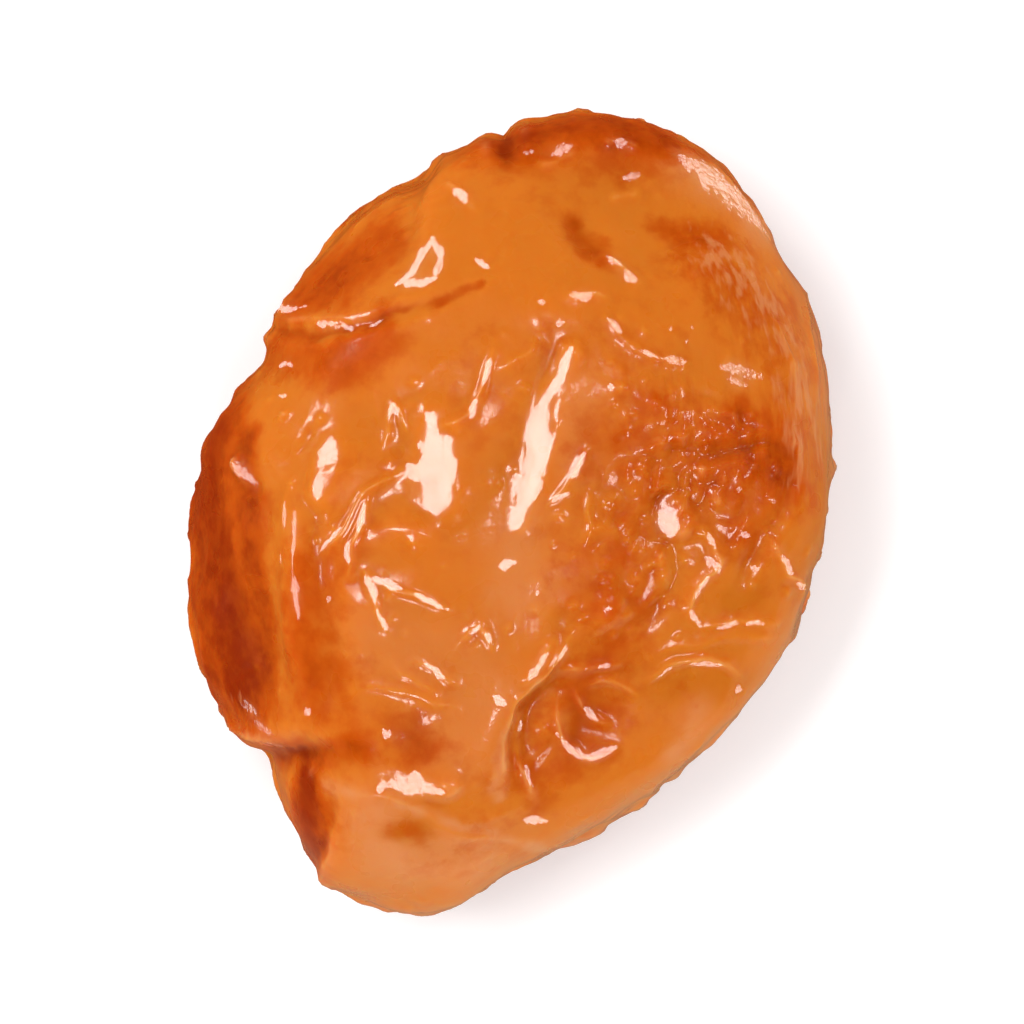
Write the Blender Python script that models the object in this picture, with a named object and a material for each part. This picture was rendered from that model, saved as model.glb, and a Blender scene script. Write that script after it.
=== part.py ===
"""One dried golden plum, lying on a table: a flattened fruit whose skin has dried into folds and wrinkles.

The fruit is one solid. A smooth body is worked out from its plan outline and its thickness, and is pressed
flat in a few places. The skin is then raised along the body's own normals into swells, steps, creases, small
facets, ridges and wrinkles. The underside is cut level where the fruit rests.

Plan places are millimetres over the table, +X to the right and +Y away from the viewer. A place beyond the
outline wraps round the rim on to the underside.
"""

import math
import random
from collections import namedtuple

import bmesh
import bpy
import numpy as np

MM = 0.001

# Body, in millimetres
OUTLINE_RADII = np.array(  # every 15 degrees, from +X towards +Y
    [14.8, 15.5, 16.7, 17.6, 19.2, 19.5, 18.5, 17.0, 16.3, 15.3, 13.9, 15.0,
     15.5, 16.2, 17.0, 17.3, 19.8, 20.3, 17.6, 16.2, 15.2, 14.8, 15.0, 14.6]
)
RIM_HEIGHT = 9.2  # of the widest section over the table
TOP_RISE = 11.0  # from the rim to the top
UNDER_DROP = 9.6  # from the rim down, a little more than its height, so that the fruit rests on a flat
FULLNESS = 2.9  # 2 is an ellipsoid, and more is plumper

# Skin
SURFACE_CUTS = 119  # across each side of the cube that the body's mesh is made from
SOLID_FACES = 11400
LEVEL_FADE = 2.5  # the relief dies away over this height above the table
SIDE_STARTS = RIM_HEIGHT + 4.0  # the sides' wrinkles fade in below this
SIDE_FULL = RIM_HEIGHT - 1.5
RIM_CALM = 0.5  # how much fainter they are round the widest section
NOISE_CELLS = 24  # each way, before the noise repeats

Flat = namedtuple("Flat", "azimuth elevation depth softness")
Lumps = namedtuple("Lumps", "height size seed")
Swell = namedtuple("Swell", "place reach height")
Fold = namedtuple("Fold", "half_width height route")
Step = namedtuple("Step", "half_width drop route")
Facet = namedtuple("Facet", "reach azimuth elevation route")

# Where the sides have dried flat: the way that each faces, in degrees, and how far it is pressed in
FLATS = {
    "left flank": Flat(183, 33, 1.1, 0.8),
    "upper left cheek": Flat(137, 28, 1.0, 0.7),
    "foot left": Flat(205, 30, 0.8, 0.5),
    "foot panel": Flat(262, 32, 1.1, 0.35),
    "top": Flat(95, 52, 1.6, 0.6),
    "upper right rim": Flat(50, 54, 1.9, 0.6),
    "lower right side": Flat(312, 55, 2.5, 0.8),
}

# Rounded swells and hollows of the flesh, drawn by a rule and then by name
LUMPS = [Lumps(0.5, 10.0, 51), Lumps(0.3, 5.5, 52), Lumps(0.07, 2.4, 53)]
SWELLS = {
    "scar hollow": Swell((8.4, 0.6), 3.6, -0.6),
    "crater": Swell((4.4, -11.2), 1.8, -0.45),
    "boss": Swell((4.2, -4.0), 2.4, 0.25),
    "right lobe": Swell((14.3, -0.1), 2.4, 0.4),
    "upper lobe": Swell((0.3, 13.5), 4.0, 0.5),
    "upper right lobe": Swell((8.5, 10.5), 4.5, 0.4),
    "middle left lobe": Swell((-8.7, 6.4), 3.5, 0.3),
    "foot hollow": Swell((-4.6, -11.4), 1.4, -0.25),
    "middle lobe": Swell((-3.0, -3.5), 4.5, 0.4),
    "lower middle lobe": Swell((-1.2, -12.6), 2.6, 0.4),
    "lower right lobe": Swell((9.0, -11.0), 3.0, 0.4),
    "top bump": Swell((3.2, 18.4), 2.2, 0.3),
    "groove head": Swell((1.7, 8.2), 1.2, -0.2),
}

# Creases, which are below nought, and narrow ridges. Each dies away towards its ends
CREASES = {
    "foot crease": Fold(
        0.7, -0.25, [(-15.5, -13.0), (-12.6, -12.2), (-10.9, -12.0), (-8.5, -11.7), (-6.8, -12.1)]
    ),
    "left notch": Fold(
        0.35, -0.2, [(-12.2, 8.8), (-10.5, 8.7), (-8.0, 9.2), (-5.7, 9.8), (-4.0, 10.3), (-1.4, 11.1)]
    ),
    "top notch": Fold(0.5, -0.35, [(-1.2, 21.0), (-0.9, 19.2), (-0.5, 17.8), (0.1, 16.2)]),
    "middle groove": Fold(
        0.8, -0.2, [(2.0, 9.4), (1.7, 7.4), (0.7, 5.2), (0.0, 3.0), (-0.7, 1.0), (-1.2, -1.2)]
    ),
    "short crease": Fold(0.8, -0.3, [(2.7, 15.9), (3.3, 14.6), (3.9, 13.5), (4.6, 12.4)]),
    "scar upper crease": Fold(
        0.4, -0.15, [(5.0, 1.4), (6.8, 2.0), (8.4, 3.0), (10.2, 2.4), (12.2, 3.0), (13.9, 2.0)]
    ),
    "scar lower crease": Fold(
        0.4, -0.15, [(6.6, -1.0), (7.9, -2.4), (8.6, -4.2), (7.4, -6.2), (6.2, -7.4)]
    ),
    "right flank crease": Fold(
        0.4, -0.16, [(13.3, 2.6), (13.0, -0.1), (12.2, -1.9), (11.3, -4.5), (10.8, -5.8)]
    ),
    "long fold hollow": Fold(0.8, -0.35, [(3.6, -8.2), (1.9, -9.9), (0.9, -11.8), (0.6, -14.0)]),
}
RIDGES = {
    "foot crease lip": Fold(0.4, 0.3, [(-14.6, -9.0), (-13.4, -10.5), (-12.0, -11.5), (-10.4, -11.7)]),
    "left notch lip": Fold(
        0.25, 0.1, [(-11.4, 9.1), (-10.2, 9.5), (-9.1, 9.7), (-8.0, 9.2), (-7.3, 9.3), (-6.4, 9.8)]
    ),
    "corner ridge": Fold(0.25, 0.08, [(-12.4, 9.2), (-11.6, 9.8), (-10.6, 10.4), (-9.6, 10.9)]),
    "groove left ridge": Fold(
        0.25, 0.3, [(-1.0, 8.6), (-1.2, 7.3), (-1.6, 6.0), (-2.1, 4.7), (-2.8, 4.2), (-4.2, 3.4)]
    ),
    "groove head ridge": Fold(0.25, 0.15, [(-1.2, 6.2), (-0.4, 6.8), (0.6, 7.4), (1.0, 8.4)]),
    "pocket ridge": Fold(
        0.22, 0.2, [(-9.9, -2.3), (-9.2, -2.1), (-8.3, -1.3), (-7.6, 0.1), (-6.9, 0.9), (-5.3, 1.9)]
    ),
    "pocket line": Fold(0.22, 0.3, [(-8.1, -3.9), (-7.9, -3.0), (-7.5, -1.4), (-7.1, 0.2), (-6.8, 1.0)]),
    "long V ridge": Fold(
        0.22, 0.25, [(-7.8, -2.8), (-7.1, -3.2), (-5.9, -3.9), (-4.7, -4.4), (-3.5, -4.8), (-2.7, -5.0)]
    ),
    "short V ridge": Fold(
        0.3, 0.25, [(-7.4, -2.4), (-7.1, -3.4), (-6.8, -4.4), (-6.3, -5.6), (-5.8, -6.4)]
    ),
    "left peak": Fold(0.22, 0.25, [(-6.7, 2.4), (-6.3, 3.4), (-6.0, 4.8), (-5.6, 4.5), (-5.2, 3.0)]),
    "small V": Fold(0.22, 0.22, [(-3.0, -7.3), (-2.6, -6.6), (-1.9, -5.9), (-1.4, -6.6), (-0.7, -7.5)]),
    "slanting ridge": Fold(
        0.25, 0.25, [(-5.3, -7.2), (-4.9, -7.5), (-4.0, -7.9), (-2.9, -8.7), (-2.4, -9.2)]
    ),
    "low ridge": Fold(0.28, 0.18, [(-8.6, -9.2), (-7.0, -8.8), (-5.0, -9.0), (-2.8, -10.0), (-1.6, -10.2)]),
    "upper low ridge": Fold(0.28, 0.18, [(-7.4, -7.6), (-6.0, -7.8), (-4.4, -8.6), (-3.0, -9.6)]),
    "arc ridge": Fold(
        0.2, 0.22, [(4.2, 10.0), (4.6, 9.2), (5.5, 8.2), (6.8, 7.45), (7.7, 7.2), (9.2, 7.2)]
    ),
    "shelf": Fold(0.35, 0.25, [(2.1, 9.9), (2.7, 10.2), (3.5, 10.4), (4.3, 10.4), (5.0, 10.2)]),
    "crescent": Fold(0.3, 0.28, [(4.5, 13.2), (4.9, 12.6), (5.75, 11.9), (6.1, 11.1), (6.0, 10.3)]),
    "long fold": Fold(
        0.28, 0.3, [(3.9, -6.0), (3.1, -7.0), (2.1, -8.4), (1.0, -9.4), (0.2, -10.6), (-0.3, -14.9)]
    ),
    "long fold twin": Fold(0.3, 0.25, [(2.6, -6.5), (2.0, -7.3), (1.0, -8.7), (0.4, -9.4)]),
    "crater crest": Fold(0.22, 0.28, [(2.4, -8.7), (3.3, -8.5), (4.5, -8.5), (5.6, -8.6), (6.4, -8.8)]),
    "crater ring": Fold(
        0.28, 0.3, [(2.7, -9.9), (2.8, -10.7), (2.9, -11.5), (3.6, -12.6), (4.5, -12.9), (6.2, -12.2)]
    ),
    "crater inner ridge": Fold(
        0.25, 0.28, [(3.6, -9.6), (3.9, -10.2), (4.4, -11.1), (5.1, -11.5), (5.8, -11.6)]
    ),
    "crater upper ridge": Fold(
        0.2, 0.22, [(4.1, -9.9), (4.7, -9.6), (5.5, -9.5), (6.6, -10.0), (7.1, -10.3)]
    ),
    "crater side ridge": Fold(
        0.25, 0.3, [(1.1, -10.3), (0.85, -11.1), (0.75, -12.8), (1.4, -14.5), (1.8, -15.2)]
    ),
    "right ridge": Fold(
        0.3, 0.35, [(9.5, -0.9), (10.2, -2.7), (10.4, -3.5), (9.5, -4.6), (9.2, -5.9), (9.6, -7.0)]
    ),
    "right lobe ridge": Fold(
        0.22, 0.28, [(12.2, -1.2), (12.6, -2.1), (13.2, -3.4), (13.7, -3.8), (13.7, -5.2)]
    ),
    "right lower ridge": Fold(
        0.25, 0.22, [(9.4, -7.0), (10.4, -6.6), (11.5, -6.2), (12.8, -5.9), (13.3, -5.9)]
    ),
    "right lower swell": Fold(
        0.5, 0.2, [(7.2, -9.3), (7.7, -8.3), (8.5, -7.7), (10.0, -7.4), (11.5, -6.8), (13.2, -6.6)]
    ),
    "right hooked ridge": Fold(
        0.25, 0.32, [(7.0, -10.2), (7.5, -9.4), (8.5, -8.5), (9.8, -8.05), (10.9, -8.3), (11.5, -8.8)]
    ),
    "foot edge": Fold(
        0.3, 0.12, [(-9.4, -13.5), (-8.0, -13.9), (-6.2, -14.3), (-4.0, -15.3), (-2.3, -16.4), (1.5, -16.6)]
    ),
    "foot side edge": Fold(
        0.3, 0.25, [(-8.4, -13.0), (-8.8, -14.6), (-9.1, -17.0), (-9.2, -19.0), (-9.0, -21.0)]
    ),
    "top ring": Fold(0.25, 0.2, [(2.4, 18.2), (2.9, 18.9), (3.5, 19.3), (4.4, 19.2), (5.0, 18.9)]),
    "rim wrinkle": Fold(0.22, 0.12, [(12.6, 12.4), (13.6, 10.5), (14.2, 8.0), (14.4, 5.5), (14.0, 3.0)]),
    "inner rim wrinkle": Fold(0.22, 0.1, [(12.0, 10.8), (12.9, 8.8), (13.5, 6.6), (13.6, 4.4)]),
    "outer rim wrinkle": Fold(
        0.22, 0.12, [(13.9, 11.6), (14.8, 9.5), (15.2, 7.0), (15.3, 4.5), (15.0, 3.0)]
    ),
    "scar line": Fold(0.22, 0.18, [(3.4, 1.2), (3.5, 0.0), (3.7, -1.7), (3.8, -2.4)]),
    "streak twin": Fold(0.25, 0.28, [(1.3, -0.1), (1.7, 0.2), (2.6, 1.3), (3.4, 2.7), (3.8, 3.4)]),
    "top wrinkle": Fold(0.3, 0.2, [(1.1, 17.2), (1.9, 17.5), (2.5, 17.8), (3.3, 18.0)]),
    "top right wrinkle": Fold(0.3, 0.2, [(4.0, 18.2), (4.9, 18.2), (5.5, 18.1), (6.3, 17.8)]),
    "shoulder wrinkle": Fold(0.3, 0.2, [(4.8, 16.3), (5.5, 16.4), (6.1, 16.4), (6.8, 16.2)]),
    "lobe wrinkle": Fold(0.3, 0.2, [(-3.8, 16.0), (-3.0, 15.7), (-2.4, 15.2), (-1.8, 14.6)]),
    "panel swell": Fold(0.6, 0.15, [(-10.7, 0.9), (-10.8, -0.6), (-11.0, -4.0), (-11.0, -6.5)]),
}
ROUTE_STEPS = 5  # pieces that each stretch of a route is smoothed into
RUN_OUT = 0.3  # share of a fold's length over which it dies away

# Where the skin drops from one level to another: it is lower on the right of the route
STEPS = {
    "upper lobe edge": Step(
        0.6, 0.6, [(-3.2, 20.5), (-3.6, 17.6), (-4.8, 15.4), (-5.2, 13.6), (-4.8, 12.0), (-3.8, 10.8)]
    ),
    "left edge": Step(
        0.7, 0.7, [(-8.2, 5.6), (-9.3, 3.2), (-9.6, 0.4), (-9.1, -2.5),
                   (-8.6, -5.5), (-8.6, -8.0), (-9.4, -11)]
    ),
    "flank edge": Step(
        0.9, 0.4, [(-11.6, 3.0), (-11.9, 0.2), (-12.1, -2.6), (-12.3, -7.0), (-11.2, -11.0)]
    ),
    "foot crease drop": Step(
        0.5, 0.6, [(-15.0, -12.6), (-12.4, -11.8), (-10.0, -11.6), (-7.6, -11.7), (-5.6, -12.6)]
    ),
    "foot side": Step(
        0.35, 0.45, [(-8.2, -12.6), (-8.7, -14.6), (-9.1, -16.8), (-9.3, -19.0), (-9.0, -22.0)]
    ),
    "groove wall": Step(
        0.6, 0.28, [(2.9, 9.4), (2.5, 6.8), (1.5, 5.0), (1.2, 3.2), (0.8, 0.8), (-0.5, -1.6)]
    ),
    "middle drop": Step(0.7, 0.6, [(-3.6, 5.8), (-4.0, 3.6), (-4.1, 1.4), (-3.7, -0.8)]),
    "crater drop": Step(0.5, -0.4, [(3.6, -6.6), (2.2, -8.6), (0.4, -10.2), (0.0, -12.4), (0.2, -15.0)]),
    "boss rise": Step(0.8, -0.15, [(3.2, -1.7), (2.1, -3.0), (2.0, -5.0), (3.1, -6.4), (5.2, -7.2)]),
}
STEP_REACH = 2.5

# Ways that small flats of the skin face: azimuth and elevation, in degrees
FACING_UP = 155, 81
FACING_UPPER_LEFT = 148, 53
FACING_LEFT = 180, 48
FACING_FOOT = 262, 64
FACING_LOWER_LEFT = 235, 76

# Small flats of skin along a route
FACETS = {
    "pocket": Facet(1.6, *FACING_LOWER_LEFT, [(-6.9, -2.6), (-5.3, -1.6)]),
    "under the boss": Facet(1.1, 285, 70, [(3.4, -6.0), (5.0, -5.6)]),
    "middle": Facet(1.15, *FACING_UP, [(-4.1, 4.0), (-4.0, 2.6), (-4.2, 1.7), (-3.6, 0.3)]),
    "upper groove": Facet(0.6, *FACING_UP, [(2.7, 7.4), (2.3, 6.4), (1.5, 5.4), (1.3, 4.6)]),
    "lower groove": Facet(0.6, *FACING_UP, [(1.25, 3.9), (1.1, 2.1), (0.4, 0.0), (0.0, -0.8)]),
    "left edge": Facet(0.7, *FACING_UPPER_LEFT, [(-9.0, 3.0), (-9.5, 2.0), (-9.5, 0.8)]),
    "foot": Facet(0.8, *FACING_FOOT, [(-5.6, -13.7), (-3.2, -13.9)]),
    "scar": Facet(0.8, *FACING_UP, [(7.8, -0.3), (8.6, -1.3)]),
    "flank": Facet(0.5, *FACING_LEFT, [(-14.3, 2.1), (-13.6, 1.0)]),
}
FACET_LEVEL = 0.75  # share of a facet's strip that it raises
FACET_MOST = 0.45  # that it moves the skin by

# Short wrinkles drawn by a rule: seed, count, length, half width, height for each millimetre of half width
Wrinkles = namedtuple("Wrinkles", "seed count length half_width height")
SIDE_WRINKLES = Wrinkles(5, 150, (3.0, 9.0), (0.35, 0.9), (0.3, 0.8))

SKIN_COLOUR = (0.66, 0.15, 0.008, 1)


def outline_radius(azimuth):
    """The plan outline's radius: a smooth closed curve through OUTLINE_RADII."""
    count = len(OUTLINE_RADII)
    step = (azimuth / math.tau * count) % count
    index = np.floor(step).astype(int)
    f = step - index
    before, start, end, after = (OUTLINE_RADII[(index + k) % count] for k in (-1, 0, 1, 2))
    bend = 2 * before - 5 * start + 4 * end - after + f * (3 * (start - end) + after - before)
    return start + 0.5 * f * (end - before + f * bend)


def body_places(directions):
    """Where each unit direction meets the smooth body."""
    x, y, z = directions.T
    full = (np.hypot(x, y) ** FULLNESS + np.abs(z) ** FULLNESS) ** (-1 / FULLNESS)
    radius = outline_radius(np.arctan2(y, x)) * full
    rise = np.where(z > 0, TOP_RISE, UNDER_DROP)
    return np.stack([x * radius, y * radius, RIM_HEIGHT + z * full * rise], axis=1)


def on_body(plan_points):
    """The places on the smooth body over these plan points, or under it for points beyond the outline."""
    x, y = np.asarray(plan_points, float).T
    azimuth = np.arctan2(y, x)
    radius = outline_radius(azimuth)
    share = np.hypot(x, y) / radius
    inward = np.where(share > 1, 2 - share, share).clip(0, 1)
    level = (1 - inward**FULLNESS).clip(0) ** (1 / FULLNESS)
    z = RIM_HEIGHT + np.where(share > 1, -UNDER_DROP, TOP_RISE) * level
    return np.stack([inward * radius * np.cos(azimuth), inward * radius * np.sin(azimuth), z], axis=1)


def smooth_route(points):
    """A Catmull-Rom curve through a route's points."""
    points = np.asarray(points, float)
    ends = np.vstack([2 * points[0] - points[1], points, 2 * points[-1] - points[-2]])
    curve = []
    for before, start, end, after in zip(ends, ends[1:], ends[2:], ends[3:]):
        for f in np.arange(ROUTE_STEPS) / ROUTE_STEPS:
            bend = 2 * before - 5 * start + 4 * end - after + f * (3 * (start - end) + after - before)
            curve.append(start + 0.5 * f * (end - before + f * bend))
    curve.append(points[-1])
    return np.array(curve)


def smoothstep(low, high, values):
    t = ((values - low) / (high - low)).clip(0, 1)
    return t * t * (3 - 2 * t)


def noise(places, size, seed):
    """Perlin noise from about -1 to 1, with swells of about this size in millimetres."""
    slopes = np.random.default_rng(seed).normal(size=(NOISE_CELLS, NOISE_CELLS, NOISE_CELLS, 3))
    slopes /= np.linalg.norm(slopes, axis=3, keepdims=True)
    scaled = places / size
    cell = np.floor(scaled).astype(int)
    inside = scaled - cell
    ease = inside**3 * (inside * (inside * 6 - 15) + 10)
    total = np.zeros(len(places))
    for corner in np.ndindex(2, 2, 2):
        x, y, z = ((cell + corner) % NOISE_CELLS).T
        share = np.where(corner, ease, 1 - ease).prod(axis=1)
        total += share * ((inside - corner) * slopes[x, y, z]).sum(axis=1)
    return 1.5 * total


def shaken(places, reach, size, seed):
    """The places, each moved by smooth noise, which makes what is drawn on them uneven."""
    return places + reach * np.stack([noise(places, size, seed + k) for k in range(3)], axis=1)


def nearest_on(route, places, reach):
    """For the places within reach of a route: which they are, the offset from its nearest point, the way that
    the route runs there, and that point's share of its length."""
    line = on_body(smooth_route(route))
    runs = line[1:] - line[:-1]
    lengths = np.linalg.norm(runs, axis=1)
    starts = np.concatenate([[0], np.cumsum(lengths)])
    low, high = line.min(axis=0) - reach, line.max(axis=0) + reach
    near = np.flatnonzero(((places > low) & (places < high)).all(axis=1))
    offset = np.full((len(near), 3), 1e3)
    along = np.zeros((len(near), 3))
    share = np.zeros(len(near))
    for corner, run, length, start in zip(line, runs, lengths, starts):
        away = places[near] - corner
        t = (away @ run / max(length**2, 1e-12)).clip(0, 1)
        away -= t[:, None] * run
        closer = (away**2).sum(axis=1) < (offset**2).sum(axis=1)
        offset[closer] = away[closer]
        along[closer] = run / max(length, 1e-6)
        share[closer] = ((start + t * length) / starts[-1])[closer]
    return near, offset, along, share


def run_out(share):
    return smoothstep(0, RUN_OUT, share) * smoothstep(1, 1 - RUN_OUT, share)


def fold_relief(fold, places):
    """How far one fold raises the skin at each place."""
    near, offset, _, share = nearest_on(fold.route, places, 5 * fold.half_width)
    across = np.linalg.norm(offset, axis=1) / fold.half_width
    if fold.height < 0:  # the flesh bulges beside a crease
        crest = np.exp(-0.8 * across**2) - 0.2 * np.exp(-((across - 2.2) ** 2))
    else:
        crest = np.exp(-1.2 * (np.sqrt(across**2 + 0.05) - 0.22))
    relief = np.zeros(len(places))
    relief[near] = fold.height * run_out(share) * crest * smoothstep(5, 3, across)
    return relief


def step_relief(step, places):
    """How far one step raises the skin on the left of its route and lowers it on the right."""
    near, offset, along, share = nearest_on(step.route, places, 2 * STEP_REACH)
    outward = places[near] - (0, 0, RIM_HEIGHT)
    outward /= np.linalg.norm(outward, axis=1)[:, None]
    left = (np.cross(outward, along) * offset).sum(axis=1)
    fade = np.exp(-(offset**2).sum(axis=1) / STEP_REACH**2)
    relief = np.zeros(len(places))
    relief[near] = 0.5 * step.drop * np.tanh(left / step.half_width) * fade * run_out(share)
    return relief


def facing(azimuth, elevation):
    azimuth, elevation = math.radians(azimuth), math.radians(elevation)
    level = math.cos(elevation)
    return np.array([math.cos(azimuth) * level, math.sin(azimuth) * level, math.sin(elevation)])


def flatten_facet(facet, places, pressed, outward, relief):
    """Turns a strip of the skin to face one way, raising more of it than it cuts."""
    near, offset, _, _ = nearest_on(facet.route, places, 2.4 * facet.reach)
    share = np.exp(-((np.linalg.norm(offset, axis=1) / facet.reach) ** 3))
    normal = facing(facet.azimuth, facet.elevation)
    middle = (pressed[near] * share[:, None]).sum(axis=0) / share.sum()
    plane = (middle - pressed[near]) @ normal / (outward[near] @ normal)
    level = np.quantile((relief[near] - plane)[share > 0.4], FACET_LEVEL)
    relief[near] += share * (level + plane - relief[near]).clip(-FACET_MOST, FACET_MOST)


def scattered_folds(wrinkles):
    """Short curved folds scattered over the whole skin."""
    rng = random.Random(wrinkles.seed)
    for _ in range(wrinkles.count):
        share = min(2 * math.sqrt(rng.random()), 1.97)
        azimuth = rng.uniform(0, math.tau)
        radius = share * float(outline_radius(np.array([azimuth]))[0])
        x, y = radius * math.cos(azimuth), radius * math.sin(azimuth)
        around = math.pi / 2 if rng.random() < 0.4 else 0
        heading = azimuth + around + rng.uniform(-1.2, 1.2)
        step = rng.uniform(*wrinkles.length) / 5
        bend = rng.uniform(-0.16, 0.16) * step
        route = []
        for _ in range(6):
            route.append((x, y))
            x += step * math.cos(heading)
            y += step * math.sin(heading)
            heading += bend
        side = -1 if rng.random() < 0.45 else 1
        half_width = rng.uniform(*wrinkles.half_width)
        yield Fold(half_width, side * half_width * rng.uniform(*wrinkles.height), route)


def crumple(places):
    """The puckering between the folds: rounded ridges along the noughts of a warped noise."""
    warped = shaken(shaken(places, 1.0, 5.0, 21), 0.4, 1.8, 31)
    coarse = 1 - np.sqrt((2.2 * noise(warped, 3.4, 41)) ** 2 + 0.006)
    fine = 1 - np.sqrt((2.2 * noise(warped, 1.7, 42)) ** 2 + 0.006)
    return 0.42 * coarse + 0.2 * fine * (0.4 + 0.6 * coarse)


def cobbles(places):
    """Low round bumps close together, about a millimetre across."""
    warped = shaken(places, 0.3, 1.5, 71)
    return np.sqrt((2.2 * noise(warped, 1.3, 74)) ** 2 + 0.01) + 0.4 * np.abs(noise(warped, 0.7, 75))


def swell_relief(places):
    relief = np.zeros(len(places))
    for swell in SWELLS.values():
        away = np.linalg.norm(places - on_body([swell.place]), axis=1)
        relief += swell.height * np.exp(-((away / swell.reach) ** 2))
    return relief


def skin_relief(places, pressed, outward):
    """How far the dried skin stands out, in millimetres, from the smooth body once its flats are pressed in.
    outward is the pressed body's normals."""
    side = 1 - smoothstep(SIDE_FULL, SIDE_STARTS, places[:, 2])
    calm = 1 - RIM_CALM * np.exp(-(((places[:, 2] - RIM_HEIGHT) / 2.5) ** 2))
    scar = SWELLS["scar hollow"]
    scarred = np.exp(-((np.linalg.norm(places - on_body([scar.place]), axis=1) / 4.2) ** 2))
    uneven = shaken(shaken(places, 0.2, 2.6, 3), 0.12, 1.1, 6)
    rough = shaken(shaken(places, 0.5, 2.2, 13), 0.2, 0.9, 16)
    relief = swell_relief(uneven)
    relief += sum(lumps.height * noise(places, lumps.size, lumps.seed) for lumps in LUMPS)
    relief += sum(step_relief(step, uneven) for step in STEPS.values())
    relief += sum(fold_relief(fold, uneven) for fold in CREASES.values())
    wrinkles = sum(fold_relief(fold, rough) for fold in scattered_folds(SIDE_WRINKLES))
    relief += wrinkles * (0.05 + 0.95 * side) * calm
    relief += crumple(places) * (0.04 + 0.96 * side + 0.2 * scarred).clip(0, 1) * calm
    relief += 0.1 * cobbles(places) * scarred
    for facet in FACETS.values():
        flatten_facet(facet, uneven, pressed, outward, relief)
    relief += sum(fold_relief(fold, uneven) for fold in RIDGES.values())
    return relief * (0.12 + 0.88 * smoothstep(0, LEVEL_FADE, places[:, 2]))


def press_flats(places):
    """Flattens the body softly where its sides have dried flat."""
    pressed = places.copy()
    for flat in FLATS.values():
        normal = facing(flat.azimuth, flat.elevation)
        outward = places @ normal
        beyond = (outward - outward.max() + flat.depth) / flat.softness
        pressed -= flat.softness * np.logaddexp(0, beyond)[:, None] * normal
    return pressed


def coordinates(mesh):
    values = np.empty(len(mesh.vertices) * 3, np.float32)
    mesh.vertices.foreach_get("co", values)
    return values.reshape(-1, 3).astype(float)


def normals(mesh):
    values = np.empty(len(mesh.vertices) * 3, np.float32)
    mesh.vertices.foreach_get("normal", values)
    return values.reshape(-1, 3).astype(float)


def move_to(mesh, places):
    mesh.vertices.foreach_set("co", places.astype(np.float32).ravel())
    mesh.update()


def skin_mesh():
    """The fruit's skin as a closed mesh in millimetres, not yet cut level."""
    mesh = bpy.data.meshes.new("dried_plum")
    bm = bmesh.new()
    bmesh.ops.create_cube(bm, size=2)
    bmesh.ops.subdivide_edges(bm, edges=bm.edges[:], cuts=SURFACE_CUTS, use_grid_fill=True)
    bm.to_mesh(mesh)
    bm.free()
    spread = np.tan(coordinates(mesh) * math.pi / 4)  # evens out the faces on the sphere
    body = body_places(spread / np.linalg.norm(spread, axis=1)[:, None])
    pressed = press_flats(body)
    move_to(mesh, pressed)
    outward = normals(mesh)
    relief = skin_relief(body, pressed, outward)
    move_to(mesh, pressed + outward * relief[:, None])
    return mesh


def cut_level(mesh):
    """Cuts the underside off at the table, so that the fruit rests on a small flat."""
    bm = bmesh.new()
    bm.from_mesh(mesh)
    everything = bm.verts[:] + bm.edges[:] + bm.faces[:]
    bmesh.ops.bisect_plane(bm, geom=everything, plane_co=(0, 0, 0), plane_no=(0, 0, -1), clear_outer=True)
    bmesh.ops.holes_fill(bm, edges=[edge for edge in bm.edges if edge.is_boundary], sides=0)
    bmesh.ops.recalc_face_normals(bm, faces=bm.faces)
    bm.to_mesh(mesh)
    bm.free()


def stand_on_origin(mesh):
    """Moves the fruit so that the middle of its box is over the origin, and turns it to metres."""
    places = coordinates(mesh)
    middle = (places.min(axis=0) + places.max(axis=0)) / 2
    move_to(mesh, (places - (middle[0], middle[1], 0)) * MM)


def skin_material():
    material = bpy.data.materials.new("dried_skin")
    material.use_nodes = True
    shader = material.node_tree.nodes["Principled BSDF"]
    shader.inputs["Base Color"].default_value = SKIN_COLOUR
    shader.inputs["Roughness"].default_value = 0.3
    shader.inputs["Metallic"].default_value = 0.0
    return material


def main():
    for old in list(bpy.data.objects):
        bpy.data.objects.remove(old)
    mesh = skin_mesh()
    cut_level(mesh)
    stand_on_origin(mesh)
    mesh.materials.append(skin_material())
    mesh.shade_smooth()
    fruit = bpy.data.objects.new("dried_plum", mesh)
    bpy.context.scene.collection.objects.link(fruit)
    fewer = fruit.modifiers.new("fewer_faces", "DECIMATE")
    triangles = sum(len(face.vertices) - 2 for face in mesh.polygons)
    fewer.ratio = SOLID_FACES / triangles
    fewer.use_collapse_triangulate = True


main()
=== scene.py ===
"""Looks of one dried golden plum, lying on a pale floor under soft studio light.

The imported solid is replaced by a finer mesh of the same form, made by the same formulas, with the skin's
fine wrinkles, streaks and pimples added. In its wet glints, the gloss is turned to face a lamp.

Lengths in the form are millimetres, +X to the right, +Y away from the viewer and +Z up. A plan place beyond
the outline wraps round the rim on to the underside.
"""

import math
import random
from collections import namedtuple

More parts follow.
